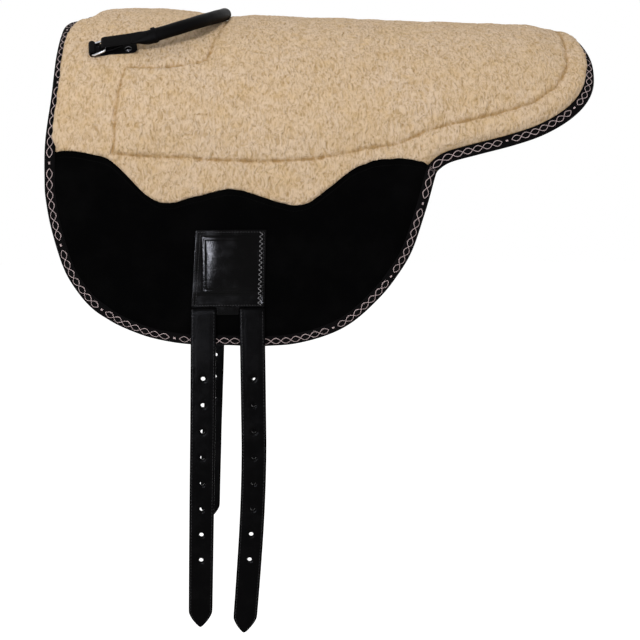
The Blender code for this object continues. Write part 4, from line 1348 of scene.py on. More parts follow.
            def keep(x: np.ndarray, v: np.ndarray, side: int = side) -> np.ndarray:
                line = np.interp(x, pattern.wave[:, 0], pattern.wave[:, 1]) + self.panel_joint
                return self.in_body(x, v) & (v * side > line)

            skin = self.cutter.skin([pattern.body], [run], keep, self.medium)
            made = self.slab(f"suede_flap_{name}", skin, low, high, Finish.SUEDE, "suede")
            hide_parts(f"suede_panel_{name}")
            size = np.ptp(skin[0], axis=0)

            line = pattern.wave + (0, self.hem)
            inner = inside(pattern.inset(h.lip + 1.5 * MM), line[:, 0], line[:, 1])
            line = line[inner] * (1, side)
            off = pattern.back.outward(line[:, 1])
            height = high(line[:, 0], line[:, 1]) + 0.1 * MM
            path = self.place(line[:, 0], line[:, 1], height)
            sewing = Stitching(finish=Finish.DULL_THREAD)
            sewing.sew(self.shop, f"suede_stitches_{name}", [path], [off], self.body)


@dataclass
class EdgeTape:
    """Woven tape folded round the pad's edge and sewn through."""

    shop: Workshop
    pattern: Pattern
    body: str = "pad"
    station: float = 3.0 * MM
    sewn_depth: float = 11.3 * MM
    sewn_top: float = 7.45 * MM
    sewn_low: float = -1.6 * MM
    # Section of the folded tape in millimetres: depth in from the edge and height above the horse
    face: tuple = (
        (13.0, 6.1), (13.2, 6.6), (12.9, 7.1), (11.3, 7.3), (9.0, 7.7), (6.0, 7.8), (3.6, 7.3), (1.6, 6.0),
        (0.4, 4.4), (0.0, 2.9), (0.3, 1.3), (1.4, -0.2), (3.4, -1.2), (6.0, -1.5), (11.3, -1.5), (13.0, -1.4),
        (13.0, -0.4),
    )
    back: tuple = ((6.0, -0.4), (2.4, 0.2), (1.3, 2.9), (2.4, 5.4), (6.0, 6.4))

    def make(self) -> None:
        """Sweep the folded tape round the edge and sew it."""
        edge = resample(self.pattern.edge, self.station, True)
        normal = inward(edge, 3)
        section = np.array(self.face + self.back) * MM
        count = len(edge)
        run = np.arange(count) * self.station
        rows = []
        lays = []
        width = np.concatenate([[0.0], np.cumsum(np.linalg.norm(np.diff(section, axis=0), axis=1))])
        for (depth, height), across in zip(section, width):
            ripple = 0.12 * MM * waves(run, run * 0 + across, 13 * MM, SEED + 12)
            flat = edge + normal * depth
            rows.append(self.pattern.back.drape(flat[:, 0], flat[:, 1], height + ripple))
            lays.append(np.stack([run, np.full(count, across), np.zeros(count)], axis=1))
        points, faces = swept(rows, joined=True)
        made = self.shop.piece(
            "edge_tape", points, faces, Finish.TAPE, self.body, "tape", np.vstack(lays),
        )
        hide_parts("edge_binding")
        seam = edge + normal * self.sewn_depth
        seam = np.vstack([seam, seam[:1]])
        off = self.pattern.back.outward(seam[:, 1])
        paths = []
        for height in (self.sewn_top, self.sewn_low):
            paths.append(self.pattern.back.drape(seam[:, 0], seam[:, 1], np.full(len(seam), height)))
        Stitching(pitch=4.2 * MM, length=3.2 * MM, finish=Finish.DULL_THREAD).sew(
            self.shop, "tape_stitches", paths, [off, off], self.body,
        )


def upright(side: int) -> Callable[..., np.ndarray]:
    """How to stand x, z and h on one plumb side of the pad; side is 1 for the near one."""
    radius = Back().radius

    def place(x: np.ndarray, z: np.ndarray, h: np.ndarray) -> np.ndarray:
        return np.stack([x, -side * (radius + h), z], axis=1)

    return place


def rounded_loop(corners: Sequence[Sequence[float]], radius: float, spacing: float) -> Outline:
    """A closed outline with round corners.

    Args:
        corners: Its corners in order.
        radius: Radius of the corners.
        spacing: Distance between its points.

    Returns:
        The evenly spaced outline.
    """
    line = np.array(corners, float)
    points = []
    for before, here, after in zip(np.roll(line, 1, axis=0), line, np.roll(line, -1, axis=0)):
        start = here + (before - here) / np.linalg.norm(before - here) * radius
        end = here + (after - here) / np.linalg.norm(after - here) * radius
        for share in np.linspace(0, 1, 7):
            points.append((1 - share) ** 2 * start + 2 * share * (1 - share) * here + share**2 * end)
    return resample(np.array(points), spacing, True)


def shrunk(loop: Outline, depths: Sequence[float]) -> list[Outline]:
    """Closed copies of an outline moved inward, so that a rounded edge is smooth.

    Args:
        loop: The evenly spaced outline.
        depths: How far in each copy lies.

    Returns:
        One open run for each depth that comes back to its start.
    """
    normal = inward(loop, 1)
    rim = Measure(resample(loop, 0.3 * MM, True))
    runs = []
    for depth in depths:
        moved = loop + normal * depth
        far = rim.away(moved[:, 0], moved[:, 1]) > depth * 0.9
        moved = moved[far]
        runs.append(np.vstack([moved, moved[:1]]))
    return runs


def round_edge(away: np.ndarray, radius: float) -> np.ndarray:
    """How far a rounded edge has dropped at a distance from it."""
    share = np.clip(away / radius, 0, 1)
    return radius * (1 - np.sqrt(share * (2 - share)))


@dataclass
class GirthPlate:
    """The leather plate on one flap, with its raised padded field and its stitching."""

    shop: Workshop
    side: int
    low: float = 10.1 * MM
    thick: float = 2.5 * MM
    edge: float = 1.0 * MM
    band_sunk: float = 0.7 * MM
    swell: float = 3.0 * MM
    spacing: float = 2.2 * MM
    seam: float = 2.6 * MM
    groove_at: float = 4.2 * MM
    groove_depth: float = 0.45 * MM
    zigzag_step: float = 3.0 * MM
    zigzag_inset: float = 6.2 * MM
    zigzag_reach: float = 2.1 * MM
    # Corners in millimetres along the back and up, from the foot's front corner round
    corners: tuple = ((-46, -331.1), (42.6, -331.1), (45.7, -236.8), (-39.3, -236.8))
    field: tuple = ((-33, -313.5), (34, -313.5), (34, -243.5), (-33, -243.5))
    tongue: tuple = (-15.5, 12.1)
    tongue_foot: float = -340.4

    def name(self) -> str:
        """Which side it is on."""
        return "left" if self.side > 0 else "right"

    def make(self) -> None:
        """Build the plate, the field and the stitches."""
        cutter = Cutter(self.shop)
        place = upright(self.side)
        (left, foot), (right, _foot), upper_right, upper_left = self.corners
        front, rear = self.tongue
        tongue = [(front, foot), (front, self.tongue_foot), (rear, self.tongue_foot), (rear, foot)]
        corners = [(left, foot), *tongue, (right, foot), upper_right, upper_left]
        outer = rounded_loop(np.array(corners) * MM, 1.2 * MM, 1.2 * MM)
        rim = Measure(resample(outer, 0.6 * MM, True))
        padded = rounded_loop(np.array(self.field) * MM, 3 * MM, self.spacing)
        pad_rim = Measure(resample(padded, 0.6 * MM, True))
        band_top = self.field[0][1] * MM

        def high(x: np.ndarray, z: np.ndarray) -> np.ndarray:
            sunk = self.band_sunk * (1 - smoothstep(band_top - 1.5 * MM, band_top, z))
            sunk *= smoothstep(2 * MM, 5 * MM, rim.away(x, z)) * smoothstep(foot * MM, (foot + 3) * MM, z)
            ripple = 0.18 * MM * waves(x, z, 16 * MM, SEED + 20)
            return self.low + self.thick - round_edge(rim.away(x, z), self.edge) - sunk + ripple

        rings = shrunk(outer, (0.3 * MM, 0.7 * MM, 1.2 * MM))
        skin = cutter.skin([outer], rings, within(outer), self.spacing)
        low = level(self.low)
        made = cutter.layer(
            f"girth_plate_{self.name()}", (skin, skin), place, low, high, Finish.PLATE, "pad", "leather",
        )
        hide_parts(f"billet_plate_{self.name()}")

        def field_high(x: np.ndarray, z: np.ndarray) -> np.ndarray:
            away = pad_rim.away(x, z)
            middle = (self.field[0][0] + self.field[1][0]) / 2 * MM
            reach = (self.field[1][0] - self.field[0][0]) / 2 * MM
            midway = (self.field[1][1] + self.field[2][1]) / 2 * MM
            rise = (self.field[2][1] - self.field[1][1]) / 2 * MM
            crown = self.swell * (1 - 0.85 * np.abs((x - middle) / reach) ** 3)
            crown *= 1 - 0.4 * ((z - midway) / rise) ** 2
            crown = crown * (1 - round_edge(away, 4 * MM) / (4 * MM))
            groove = self.groove_depth * bell(away, 0.8 * MM, self.groove_at)
            dents = 0.2 * MM * waves(x, z, 19 * MM, SEED + 21) * smoothstep(0, 6 * MM, away)
            return self.low + self.thick + 0.25 * MM + crown - groove + dents

        rings = shrunk(padded, (0.4 * MM, 1.0 * MM, 1.8 * MM))
        skin = cutter.skin([padded], rings, within(padded), 1.4 * MM)
        low = level(self.low + self.thick - 0.2 * MM)
        made = cutter.layer(
            f"padded_field_{self.name()}", (skin, skin), place, low, field_high, Finish.PLATE, "pad",
            "leather",
        )
        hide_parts(f"plate_field_{self.name()}")
        self.sew(place)

    def sew(self, place: Callable[..., np.ndarray]) -> None:
        """Stitch the plate down along its sides and top."""
        (left, foot), (right, _foot), (right_top, top), (left_top, _top) = np.array(self.corners) * MM
        off = np.array([[0.0, -self.side, 0.0]])
        height = self.low + self.thick + 0.1 * MM
        lines = []

        def add(points: Sequence[Sequence[float]]) -> None:
            line = resample(np.array(points), 2 * MM)
            lines.append(place(line[:, 0], line[:, 1], np.full(len(line), height)))

        inset = self.seam
        upper_left, upper_right = (left_top + inset, top - inset), (right_top - inset, top - inset)
        lower_left, lower_right = (left + inset, foot + inset), (right - inset, foot + inset)
        add([upper_left, upper_right])
        add([upper_left, lower_left])
        add([(left_top + 2.2 * inset, top - inset * 2), (left + 2.2 * inset, foot + inset)])
        add([upper_right, lower_right])
        add([lower_left, lower_right])
        offs = [np.repeat(off, len(line), axis=0) for line in lines]
        Stitching(pitch=3.3 * MM, length=2.6 * MM).sew(
            self.shop, f"plate_stitches_{self.name()}", lines, offs, "pad",
        )
        zigzag = []
        steps = int((top - foot) / self.zigzag_step)
        for step in range(steps + 1):
            share = step / steps
            middle = right_top + (right - right_top) * share - self.zigzag_inset
            shift = self.zigzag_reach if step % 2 else -self.zigzag_reach
            zigzag.append((middle + shift, top - inset + (foot + inset * 2 - top) * share))
        path = np.array(zigzag)
        path = place(path[:, 0], path[:, 1], np.full(len(path), height))
        runs = [path[i:i + 2] for i in range(steps)]
        Stitching(pitch=2.6 * MM, length=2.2 * MM, radius=0.45 * MM, finish=Finish.BRIGHT_THREAD).sew(
            self.shop, f"plate_zigzag_{self.name()}", runs, [np.repeat(off, 2, axis=0)] * steps, "pad",
        )


@dataclass
class Billet:
    """A punched girth strap that hangs from a plate."""

    shop: Workshop
    side: int
    kind: str
    centre: float
    length: float
    sway: tuple
    top: float = -331.4 * MM
    # Room below the plate's foot, so that the strap's root clears the suede as it swings
    gap: float = 0.3 * MM
    low: float = 10.1 * MM
    thick: float = 3.5 * MM
    width: float = 30.6 * MM
    first_hole: float = 87.3 * MM
    # How far each hole lies off the strap's middle, in millimetres, where the last one serves the rest
    hole_drift: tuple = (0.0,)
    hole_pitch: float = 33.0 * MM
    hole_radius: float = 2.75 * MM
    holes: int = 8
    edge: float = 1.1 * MM
    crease: float = 4.4 * MM
    crease_depth: float = 0.35 * MM
    punch_depth: float = 0.3 * MM
    seam: float = 2.6 * MM
    bow: float = 1.6 * MM
    spacing: float = 2.6 * MM
    # Half width shares at shares of the length, down to the pointed round tip
    sides: tuple = (
        (0.0, 1.0), (0.2, 1.0), (0.4, 1.0), (0.6, 0.995), (0.8, 0.985), (0.948, 0.97), (0.956, 0.925),
        (0.966, 0.80), (0.978, 0.60), (0.990, 0.34), (0.9975, 0.14), (1.0, 0.0),
    )

    def name(self) -> str:
        """Which of the four it is."""
        return f"{'left' if self.side > 0 else 'right'}_{self.kind}"

    def middle(self, down: np.ndarray) -> np.ndarray:
        """Where the strap's middle is, at a distance down from its root."""
        knots = catmull(self.sway)
        return self.centre + np.interp(down / self.length, knots[:, 0], knots[:, 1]) * MM

    def half(self, down: np.ndarray) -> np.ndarray:
        """Half the strap's width at a distance down from its root."""
        knots = np.array(self.sides)
        return np.interp(down / self.length, knots[:, 0], knots[:, 1]) * self.width / 2

    def make(self) -> None:
        """Build the strap and its edge stitching."""
        root = self.top - self.gap
        shares = np.concatenate([np.linspace(0, 0.95, 90), np.linspace(0.953, 1.0, 26)])
        down = shares * self.length
        left = np.stack([self.middle(down) - self.half(down), root - down], axis=1)
        right = np.stack([self.middle(down) + self.half(down), root - down], axis=1)
        outer = resample(np.vstack([left, right[::-1][1:]]), self.spacing * 0.8, True)
        loops = [outer]
        centres = self.first_hole + self.hole_pitch * np.arange(self.holes)
        turn = turns(14)
        drifts = np.interp(np.arange(self.holes), np.arange(len(self.hole_drift)), self.hole_drift) * MM
        for drop, drift in zip(centres, drifts):
            middle = float(self.middle(np.array([drop]))[0]) + drift
            across = middle + self.hole_radius * np.cos(turn)
            loops.append(np.stack([across, root - drop + self.hole_radius * np.sin(turn)], axis=1))
        rim = Measure(resample(outer, 0.6 * MM, True))
        hole_rim = Measure(np.vstack([resample(loop, 0.5 * MM, True) for loop in loops[1:]]))

        def keep(x: np.ndarray, z: np.ndarray) -> np.ndarray:
            held = inside(outer, x, z)
            for ring in loops[1:]:
                held &= ~inside(ring, x, z)
            return held

        def bowed(z: np.ndarray) -> np.ndarray:
            share = np.clip((root - z) / self.length, 0, 1)
            curl = 0.6 * MM * waves(share * 0 + self.centre, z, 70 * MM, SEED + 30)
            return (self.bow * np.sin(math.pi * share) + curl) * smoothstep(0.02, 0.12, share)

        def high(x: np.ndarray, z: np.ndarray) -> np.ndarray:
            away = rim.away(x, z)
            drop = round_edge(away, self.edge)
            drop += self.crease_depth * bell(away, 0.6 * MM, self.crease)
            drop += self.punch_depth * bell(hole_rim.away(x, z), 1.2 * MM)
            drop += round_edge(root - z, self.thick / 2)
            return self.low + self.thick + bowed(z) - drop

        def low(x: np.ndarray, z: np.ndarray) -> np.ndarray:
            lift = round_edge(rim.away(x, z), self.edge * 0.7) + round_edge(root - z, self.thick / 2 * 0.98)
            return self.low + bowed(z) + lift

        cutter = Cutter(self.shop)
        place = upright(self.side)
        rings = shrunk(outer, (0.35 * MM, 0.9 * MM))
        skin = cutter.skin(loops, rings, keep, self.spacing)
        body = f"{'left' if self.side > 0 else 'right'}_{self.kind}_billet"
        made = cutter.layer(
            f"billet_strap_{self.name()}", (skin, skin), place, low, high, Finish.BILLET, body, "leather",
        )
        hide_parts(f"billet_{self.name()}")

        lines = []
        inset = 1 - self.seam / (self.width / 2)
        run = np.linspace(4 * MM, self.length - 6 * MM, 160)
        for hand in (-1, 1):
            x = self.middle(run) + hand * (self.half(run) * inset)
            z = root - run
            height = high(x, z) + 0.12 * MM
            lines.append(place(x, z, height))
        off = np.repeat(np.array([[0.0, -self.side, 0.0]]), len(run), axis=0)
        Stitching(pitch=4.0 * MM, length=3.0 * MM, radius=0.3 * MM).sew(
            self.shop, f"billet_stitches_{self.name()}", lines, [off, off], body,
        )


def rounded_section(sides: int, wide: float, deep: float, soft: tuple[float, float]) -> np.ndarray:
    """A flat section with rounded corners.

    Args:
        sides: How many points it has.
        wide: Half its width.
        deep: Half its depth.
        soft: How round it is along its width and depth, where 1 gives an ellipse.

    Returns:
        One row of across and off for each point.
    """
    turn = turns(sides)
    across = np.copysign(np.abs(np.cos(turn)) ** soft[0], np.cos(turn)) * wide
    off = np.copysign(np.abs(np.sin(turn)) ** soft[1], np.sin(turn)) * deep
    return np.stack([across, off], axis=1)


@dataclass
class HandHold:
    """The rolled leather hand hold with its tabs, rings and rivets."""

    shop: Workshop
    pattern: Pattern
    tab_x: float = -163 * MM
    tab_v: float = 136.5 * MM
    base: float = 13.3 * MM
    width: float = 20.5 * MM
    strap_width: float = 18.5 * MM
    strap: float = 2.2 * MM
    tab_eye: float = 4.8 * MM
    strap_eye: float = 9.1 * MM
    eye: float = 3.4 * MM
    depth: float = 16 * MM
    wire: float = 1.35 * MM
    ring_tuck: float = 4.2 * MM
    tab_sway: float = 2.6 * MM
    rivet: float = 43.4 * MM
    rivet_drop: float = 7.2 * MM
    ring_slack: float = 1.0 * MM
    pivot_along: float = 69 * MM
    pivot_up: float = 10.4 * MM
    grip: float = 8.3 * MM
    apex_x: float = -5.0 * MM
    pressed: float = 6.2 * MM
    # Where the tab's tail starts and ends along it
    tab_tail: tuple[float, float] = (54 * MM, 1 * MM)
    # Along the strap: the ring's bar, the end of its inner layer and the end of its outer one
    strap_run: tuple[float, float, float] = (17 * MM, 38 * MM, 49 * MM)
    strap_lift: float = 4.0 * MM
    keeper_start: float = 5.5 * MM
    keeper_step: float = 0.5 * MM
    keeper_knot: float = 1.1 * MM
    # Share of the grip's radius that its seam is drawn in
    seam_pinch: float = 0.13
    # Distances along the neck from the pivot, before and past it, from which its still and swung places are
    # worked out
    bend: tuple[float, float] = (-12 * MM, 8 * MM)
    # How round a strap's section is along its width and its depth
    softness: tuple[float, float] = (0.28, 0.55)

    def __post_init__(self) -> None:
        """Work out the tab's own axes and the grip's ends."""
        origin = self.on_fleece(self.tab_x, self.tab_v)
        ahead = (self.on_fleece(self.tab_x + 27 * MM, self.tab_v) - origin).normalized()
        slope = origin - self.on_fleece(self.tab_x, self.tab_v + self.width / 2)
        off = ahead.cross(slope).normalized()
        self.frame = Matrix((ahead, off.cross(ahead), off)).transposed().to_4x4()
        self.frame.translation = origin
        self.pivot = self.frame @ Vector((self.pivot_along, 0, self.pivot_up))
        self.apex = self.on_fleece(self.apex_x, 0) + Vector((0, 0, self.grip + 0.5 * MM - self.pressed))

    def on_fleece(self, x: float, v: float) -> Vector:
        """A place on the fleece's plain top."""
        return Vector(self.pattern.back.drape(np.array([x]), np.array([v]), np.array([self.base]))[0])

    def ceiling(self, x: np.ndarray, v: np.ndarray) -> np.ndarray:
        """How high the fleece can stand below the grip where that lies across the ridge."""
        line = np.array([tuple(p) for p in self.grip_line(200)])
        place = self.pattern.back.drape(x, v, np.full(len(x), self.base))
        at = np.interp(place[:, 1], line[:, 1], line[:, 0])
        height = np.interp(place[:, 1], line[:, 1], line[:, 2])
        reach = self.grip + 0.4 * MM
        away = np.abs(place[:, 0] - at)
        belly = height - np.sqrt(np.clip(reach**2 - away**2, 0, None))
        room = self.base + belly - place[:, 2]
        free = (away >= reach) | (np.abs(v) > 90 * MM)
        return np.where(free, 1.0, room)

    def put(self, points: np.ndarray, side: int) -> np.ndarray:
        """Move points from the tab's axes to the pad, mirrored for the far side."""
        moved = np.array([self.frame @ Vector(p) for p in points])
        return moved if side > 0 else moved * (1, -1, 1)

    def band(self, path: np.ndarray, width: np.ndarray, thick: np.ndarray) -> list[np.ndarray]:
        """Rounded flat sections along a path in the tab's along and off axes."""
        ahead = unit(np.gradient(path, axis=0))
        normal = np.stack([-ahead[:, 1], ahead[:, 0]], axis=1)
        rings = []
        for place, off, wide, deep in zip(path, normal, width, thick):
            across, high = rounded_section(24, wide / 2, deep / 2, self.softness).T
            spots = place + np.outer(high, off)
            rings.append(np.stack([spots[:, 0], across, spots[:, 1]], axis=1))
        return rings

    def eye_arc(self, along: float, height: float, start: float, end: float) -> np.ndarray:
        """An arc of the strap's middle round a ring bar, angles in degrees."""
        turn = np.radians(np.linspace(start, end, 22))
        return np.stack([along + self.eye * np.cos(turn), height + self.eye * np.sin(turn)], axis=1)

    def make_tab(self, side: int, name: str) -> None:
        """The tab that is riveted to the fleece and folded round the ring."""
        tail = np.stack([np.linspace(*self.tab_tail, 24), np.full(24, self.tab_eye - self.eye)], axis=1)
        lap = np.stack([np.linspace(4.6, 9.6, 5), np.linspace(3.72, 3.7, 5)], axis=1) * MM
        path = np.vstack([tail, self.eye_arc(0, self.tab_eye, 270, -18), lap])
        run = np.linspace(0, 1, len(path))
        wide = self.width * (1 - 0.35 * np.clip(1 - run / 0.035, 0, 1) ** 2)
        deep = self.strap * (0.55 + 0.45 * smoothstep(0, 0.04, run) * smoothstep(0, 0.03, 1 - run))
        points, faces = swept(self.band(path, wide, deep))
        points[:, 1] -= self.tab_sway * smoothstep(6 * MM, 50 * MM, points[:, 0])
        made = self.shop.piece(
            f"hold_tab_{name}", self.put(points, side), faces, Finish.HANDLE, "pad", "leather",
        )
        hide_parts(f"handle_tab_{name}")

    def make_rivet(self, side: int, name: str) -> None:
        """A domed rivet with a rolled rim."""
        profile = (
            (0.0, 0.3), (1.2, 0.3), (1.2, 2.6), (4.2, 2.65), (4.5, 2.9), (4.4, 3.3), (3.7, 4.2), (2.5, 4.9),
            (1.2, 5.25), (0.0, 5.35),
        )
        turn = turns(28)
        rings = []
        for radius, height in profile:
            wide = max(radius, 0.02) * MM
            rings.append(np.stack([
                self.rivet + wide * np.cos(turn), wide * np.sin(turn) - self.rivet_drop,
                np.full(len(turn), height * MM),
            ], axis=1))
        points, faces = swept(rings)
        made = self.shop.piece(
            f"domed_rivet_{name}", self.put(points, side), faces, Finish.RIVET, "pad", "chrome",
        )
        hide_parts(f"tab_rivet_{name}")

    def make_ring(self, side: int, name: str) -> None:
        """The rectangular wire ring between the tab and the strap."""
        front = self.width / 2 + self.ring_slack + self.wire
        rear = self.strap_width / 2 + self.ring_slack + self.wire
        rise = self.strap_eye - self.tab_eye
        long = math.hypot(self.depth, rise)
        tilt = math.atan2(rise, self.depth)
        tuck = self.ring_tuck
        corners = [(0, -front), (long, -rear), (long, rear - tuck), (0, front - tuck)]
        loop = rounded_loop(corners, 3.2 * MM, 1.0 * MM)
        turn = turns(16)[:, None]
        rings = []
        for place, out in zip(loop, -inward(loop, 1)):
            flat = place + out * self.wire * np.cos(turn)
            high = self.wire * np.sin(turn)[:, 0]
            rings.append(np.stack([
                flat[:, 0] * math.cos(tilt) - high * math.sin(tilt), flat[:, 1],
                self.tab_eye + flat[:, 0] * math.sin(tilt) + high * math.cos(tilt),
            ], axis=1))
        points, faces = swept(rings, joined=True)
        made = self.shop.piece(
            f"chrome_ring_{name}", self.put(points, side), faces, Finish.CHROME, "pad", "chrome",
        )
        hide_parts(f"handle_ring_{name}")

    def make_strap_end(self, side: int, name: str) -> None:
        """The flat strap end folded round the ring, which narrows into the rolled grip."""
        bar, inner_end, outer_end = self.strap_run
        along = np.linspace(inner_end, bar, 10)
        lift = self.strap_lift * smoothstep(20 * MM, inner_end, along)
        inner = np.stack([along, self.strap_eye - self.eye + lift], axis=1)
        outer = np.stack([np.linspace(bar, outer_end, 16), np.full(16, self.strap_eye + self.eye)], axis=1)
        path = np.vstack([inner, self.eye_arc(self.depth, self.strap_eye, 270, 90), outer])
        run = np.linspace(0, 1, len(path))
        deep = self.strap * (0.55 + 0.45 * smoothstep(0, 0.05, run))
        wide = np.full(len(path), self.strap_width)
        points, faces = swept(self.band(path, wide, deep))
        made = self.shop.piece(
            f"strap_end_{name}", self.put(points, side), faces, Finish.HANDLE, "pad", "leather",
        )
        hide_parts(f"handle_end_{name}")
        self.make_neck(side, name)

    def make_neck(self, side: int, name: str) -> None:
        """Leather that gathers from the flat strap into the roll."""
        start = np.array([48 * MM, 0.0, self.strap_eye + self.eye])
        line = self.grip_line()
        back = np.linalg.inv(np.array(self.frame))
        target = (back @ np.append(np.array(line[0]), 1))[:3]
        beyond = (back @ np.append(np.array(line[2]), 1))[:3]
        behind, midway = start - (10 * MM, 0, 0), (start + target) / 2 + (0, 0, 0.6 * MM)
        knots = resample(catmull([behind, start, midway, target, beyond], 16), 1.5 * MM)
        knots = knots[knots[:, 0] > start[0]]
        share = smoothstep(0.0, 0.8, np.linspace(0, 1, len(knots)))
        roll = self.grip + 0.25 * MM
        ahead = unit(np.gradient(knots, axis=0))
        rings = []
        for place, way, mix in zip(knots, ahead, share):
            across = np.cross((0, 0, 1.0), way)
            across /= np.linalg.norm(across)
            up = np.cross(way, across)
            wide = self.strap_width / 2 * (1 - mix) + roll * mix
            deep = (self.strap / 2 + 0.2 * MM) * (1 - mix) + roll * mix
            soft = (self.softness[0] * (1 - mix) + mix, self.softness[1] * (1 - mix) + mix)
            rings.append(place + rounded_section(32, wide, deep, soft) @ np.stack([across, up]))
        points, faces = swept(rings)
        made = self.shop.piece(
            f"hold_neck_{name}", self.put(points, side), faces, Finish.HANDLE, None, "leather",
        )
        pivot = self.pivot if side > 0 else Vector((self.pivot.x, -self.pivot.y, self.pivot.z))
        still, swung = (pivot + Vector((along, 0, 0)) for along in self.bend)
        tuple(still)
        tuple(swung)
        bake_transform(made)

    def grip_line(self, steps: int = 64) -> list[Vector]:
        """Points of the grip's middle line from the near hinge end over the ridge."""
        depth = Vector((self.apex.x - self.pivot.x, 0, self.apex.z - self.pivot.z))
        centre = Vector((self.pivot.x, 0, self.pivot.z))
        points = []
        for step in range(steps + 1):
            angle = math.pi * step / steps
            points.append(centre + depth * math.sin(angle) + Vector((0, self.pivot.y * math.cos(angle), 0)))
        return points

    def make_grip(self) -> None:
        """The rolled grip with its sewn seam underneath, and a keeper near each end."""
        line = self.grip_line()
        depth = (self.apex - Vector((self.pivot.x, 0, self.pivot.z))).normalized()
        normal = depth.cross(Vector((0, 1, 0))).normalized()
        if normal.z < 0:
            normal = -normal
        rings = []
        count = len(line)
        turn = turns(32)[:, None]
        for number, place in enumerate(line):
            before = line[max(number - 1, 0)]
            after = line[min(number + 1, count - 1)]
            ahead = (after - before).normalized()
            out = np.array(normal.cross(ahead).normalized())
            wobble = 1 + 0.012 * math.sin(number * 0.9) + 0.01 * np.sin(number * 0.37 + turn)
            radius = self.grip * (wobble - self.seam_pinch * bell(turn, 0.22, math.pi * 1.5))
            rings.append(np.array(place) + radius * (out * np.cos(turn) + np.array(normal) * np.sin(turn)))
        points, faces = swept(rings)
        made = self.shop.piece("rolled_grip", points, faces, Finish.HANDLE, "grip", "leather")
        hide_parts("handle_grip", "handle_core")
        for name, ends in (("left", line[:9]), ("right", line[::-1][:9])):
            self.make_keeper(name, ends)

    def make_keeper(self, name: str, line: Sequence[Vector]) -> None:
        """A small leather loop round the grip near its end."""
        run = resample(np.array([tuple(p) for p in line]), self.keeper_step)
        first = int(self.keeper_start / self.keeper_step)
        run = run[first : first + 13]
        profile = (
            (0.0, 0.0), (0.0, 0.3), (0.4, 0.5), (1.2, 0.6), (4.3, 0.6), (5.1, 0.5), (5.5, 0.3), (5.5, 0.0),
        )
        ahead = run[-1] - run[0]
        ahead /= np.linalg.norm(ahead)
        out = np.cross(ahead, (0, 0, 1.0))
        out /= np.linalg.norm(out)
        up = np.cross(out, ahead)
        rings = []
        turn = turns(32)[:, None]
        for along, high in profile:
            knot = self.keeper_knot * bell(turn, 0.3, math.pi / 2) * (high > 0)
            radius = self.grip + 0.15 * MM + high * MM + knot
            rings.append(run[0] + ahead * along * MM + radius * (out * np.cos(turn) + up * np.sin(turn)))
        points, faces = swept(rings, joined=True)
        made = self.shop.piece(f"hold_keeper_{name}", points, faces, Finish.HANDLE, "grip", "leather")
        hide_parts(f"handle_keeper_{name}")

    def make(self) -> None:
        """Build the whole hand hold."""
        for side, name in ((1, "left"), (-1, "right")):
            self.make_tab(side, name)
            self.make_rivet(side, name)
            self.make_ring(side, name)
            self.make_strap_end(side, name)
        self.make_grip()


@dataclass(frozen=True)
class Lamp:
    """A soft area lamp: where it hangs, what it aims at, its size and its power in watts."""

    name: str
    at: Colour
    aim: Colour
    size: tuple[float, float]
    power: float
    colour: Colour = (1.0, 1.0, 1.0)
    lights_matt: bool = True


LAMPS = (
    Lamp("key", (-1.1, -2.6, 1.3), (0.1, -0.1, -0.1), (0.7, 0.7), 39),
    Lamp("overhead", (0.2, 0.1, 2.6), (0.1, 0, 0), (1.8, 1.8), 9),
    Lamp("fill", (2.0, -2.4, 0.3), (0.1, -0.1, -0.2), (1.6, 1.6), 8),
    # Shows only as a gleam on glossy leather
    Lamp("gleam", (-0.45, -1.9, -0.40), (0.0, -0.2, -0.3), (0.17, 0.30), 34, (0.86, 0.88, 1.0), False),
)


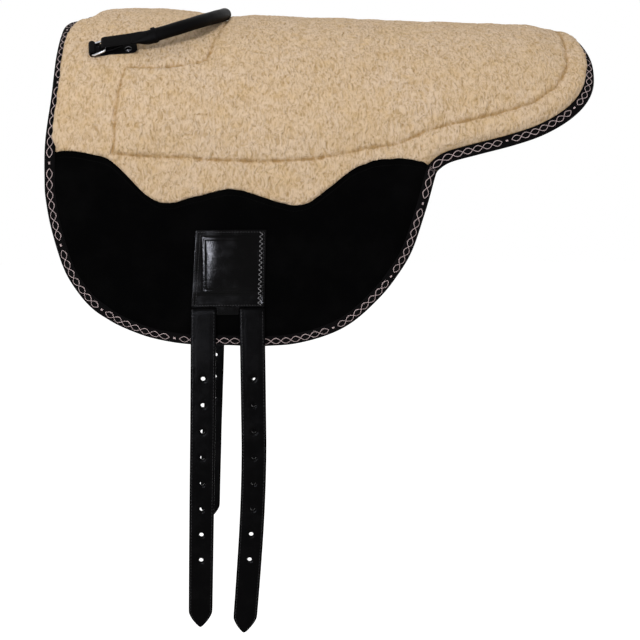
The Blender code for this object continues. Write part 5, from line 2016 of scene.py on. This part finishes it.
@dataclass(frozen=True)
class Studio:
    """Pale floor, white backdrop, soft lights and the photograph's camera."""

    camera_at: Colour = (0.0325, -2.0935, 0.0155)
    pitch: float = 79.1
    yaw: float = -2.35
    lens: float = 89.05
    sensor: float = 36.0
    floor_at: float = -1.25
    floor_size: float = 12.0
    lift: float = 0.75
    soft: float = 0.4

    def make_camera(self) -> None:
        """Set the camera at the photograph's angle."""
        camera = bpy.data.cameras.new("camera")
        camera.lens = self.lens
        camera.sensor_width = self.sensor
        holder = bpy.data.objects.new("camera", camera)
        holder.location = self.camera_at
        holder.rotation_euler = (math.radians(self.pitch), 0, math.radians(self.yaw))
        bpy.context.scene.collection.objects.link(holder)
        bpy.context.scene.camera = holder

    def make_floor(self) -> None:
        """A plain pale floor that the camera sees as white."""
        bench = Bench("studio_floor")
        half = self.floor_size / 2
        mesh = bpy.data.meshes.new("studio_floor")
        corners = ((-half, -half), (half, -half), (half, half), (-half, half))
        mesh.from_pydata([(x, y, self.floor_at) for x, y in corners], [], [(0, 1, 2, 3)])
        glow = bench.mix(bench.seen(), (0.0, 0.0, 0.0), (self.lift, self.lift, self.lift))
        mesh.materials.append(bench.finish(
            Base_Color=(0.8, 0.8, 0.8), Roughness=0.9, Specular_IOR_Level=0.0, Emission_Color=glow,
            Emission_Strength=1.0,
        ))
        floor = bpy.data.objects.new("studio_floor", mesh)
        bpy.context.scene.collection.objects.link(floor)
        floor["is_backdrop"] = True

    def make_world(self) -> None:
        """Soft surroundings that the camera sees as plain white."""
        world = bpy.data.worlds.new("studio")
        bpy.context.scene.world = world
        world.use_nodes = True
        nodes = world.node_tree.nodes
        links = world.node_tree.links
        nodes.clear()
        paths = nodes.new("ShaderNodeLightPath")
        backs = []
        for colour, strength in (((1.0, 0.99, 0.98, 1.0), self.soft), ((1.0, 1.0, 1.0, 1.0), 1.0)):
            back = nodes.new("ShaderNodeBackground")
            back.inputs["Color"].default_value = colour
            back.inputs["Strength"].default_value = strength
            backs.append(back)
        seen = paths.outputs["Is Camera Ray"]
        for ray in ("Is Glossy Ray", "Is Transmission Ray"):
            either = nodes.new("ShaderNodeMath")
            either.operation = "MAXIMUM"
            links.new(seen, either.inputs[0])
            links.new(paths.outputs[ray], either.inputs[1])
            seen = either.outputs[0]
        pick = nodes.new("ShaderNodeMixShader")
        end = nodes.new("ShaderNodeOutputWorld")
        for number, socket in enumerate((seen, backs[0].outputs[0], backs[1].outputs[0])):
            links.new(socket, pick.inputs[number])
        links.new(pick.outputs[0], end.inputs["Surface"])

    def hang(self, lamp: Lamp) -> None:
        """Add a soft area lamp aimed at a point."""
        light = bpy.data.lights.new(lamp.name, "AREA")
        light.shape = "ELLIPSE"
        light.size, light.size_y = lamp.size
        light.energy = lamp.power
        light.color = lamp.colour
        holder = bpy.data.objects.new(lamp.name, light)
        holder.location = lamp.at
        holder.rotation_euler = (Vector(lamp.aim) - Vector(lamp.at)).to_track_quat("-Z", "Y").to_euler()
        holder.visible_diffuse = lamp.lights_matt
        bpy.context.scene.collection.objects.link(holder)

    def make(self) -> None:
        """Set up the whole studio."""
        bpy.context.scene.view_settings.view_transform = "Standard"
        self.make_camera()
        self.make_floor()
        self.make_world()
        for lamp in LAMPS:
            self.hang(lamp)


def front_billet(shop: Workshop, side: int) -> Billet:
    """The front strap of a side, where the far one is turned and so looks narrower in its upper half."""
    if side > 0:
        return Billet(shop, side, "front", centre=-31.0 * MM, length=407.0 * MM, sway=FRONT_SWAY)
    return Billet(
        shop, side, "front", centre=-28.7 * MM, length=400.5 * MM, sway=FAR_FRONT_SWAY, first_hole=82.0 * MM,
        sides=((0.0, 0.85), (0.5, 0.86), (0.72, 0.97)) + Billet.sides[5:],
        hole_drift=(0.9, 0.9, 0.9, 0.4, 0.4, 0.2),
    )


def main() -> None:
    """Build the looks in order and report each piece."""
    logging.basicConfig(level=logging.INFO, format="%(message)s")
    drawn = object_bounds()
    shop = Workshop()
    pattern = Pattern()
    hold = HandHold(shop, pattern)
    soft = SoftLayers(shop, pattern, hold.ceiling)
    soft.make_lining()
    soft.make_foam()
    soft.make_webbing()
    soft.make_suede()
    soft.make_fleece()
    EdgeTape(shop, pattern).make()
    for side in (1, -1):
        GirthPlate(shop, side).make()
        front_billet(shop, side).make()
        rear_sway = REAR_SWAY if side > 0 else FAR_REAR_SWAY
        Billet(shop, side, "rear", centre=27.6 * MM, length=415.5 * MM, sway=rear_sway).make()
    hold.make()
    Studio().make()
    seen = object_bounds()
    boxes = {"cad": [list(corner) for corner in drawn], "visual": [list(corner) for corner in seen]}
    LOG.info("CAD box %s, visual box %s", boxes["cad"], boxes["visual"])


if __name__ == "__main__":
    main()
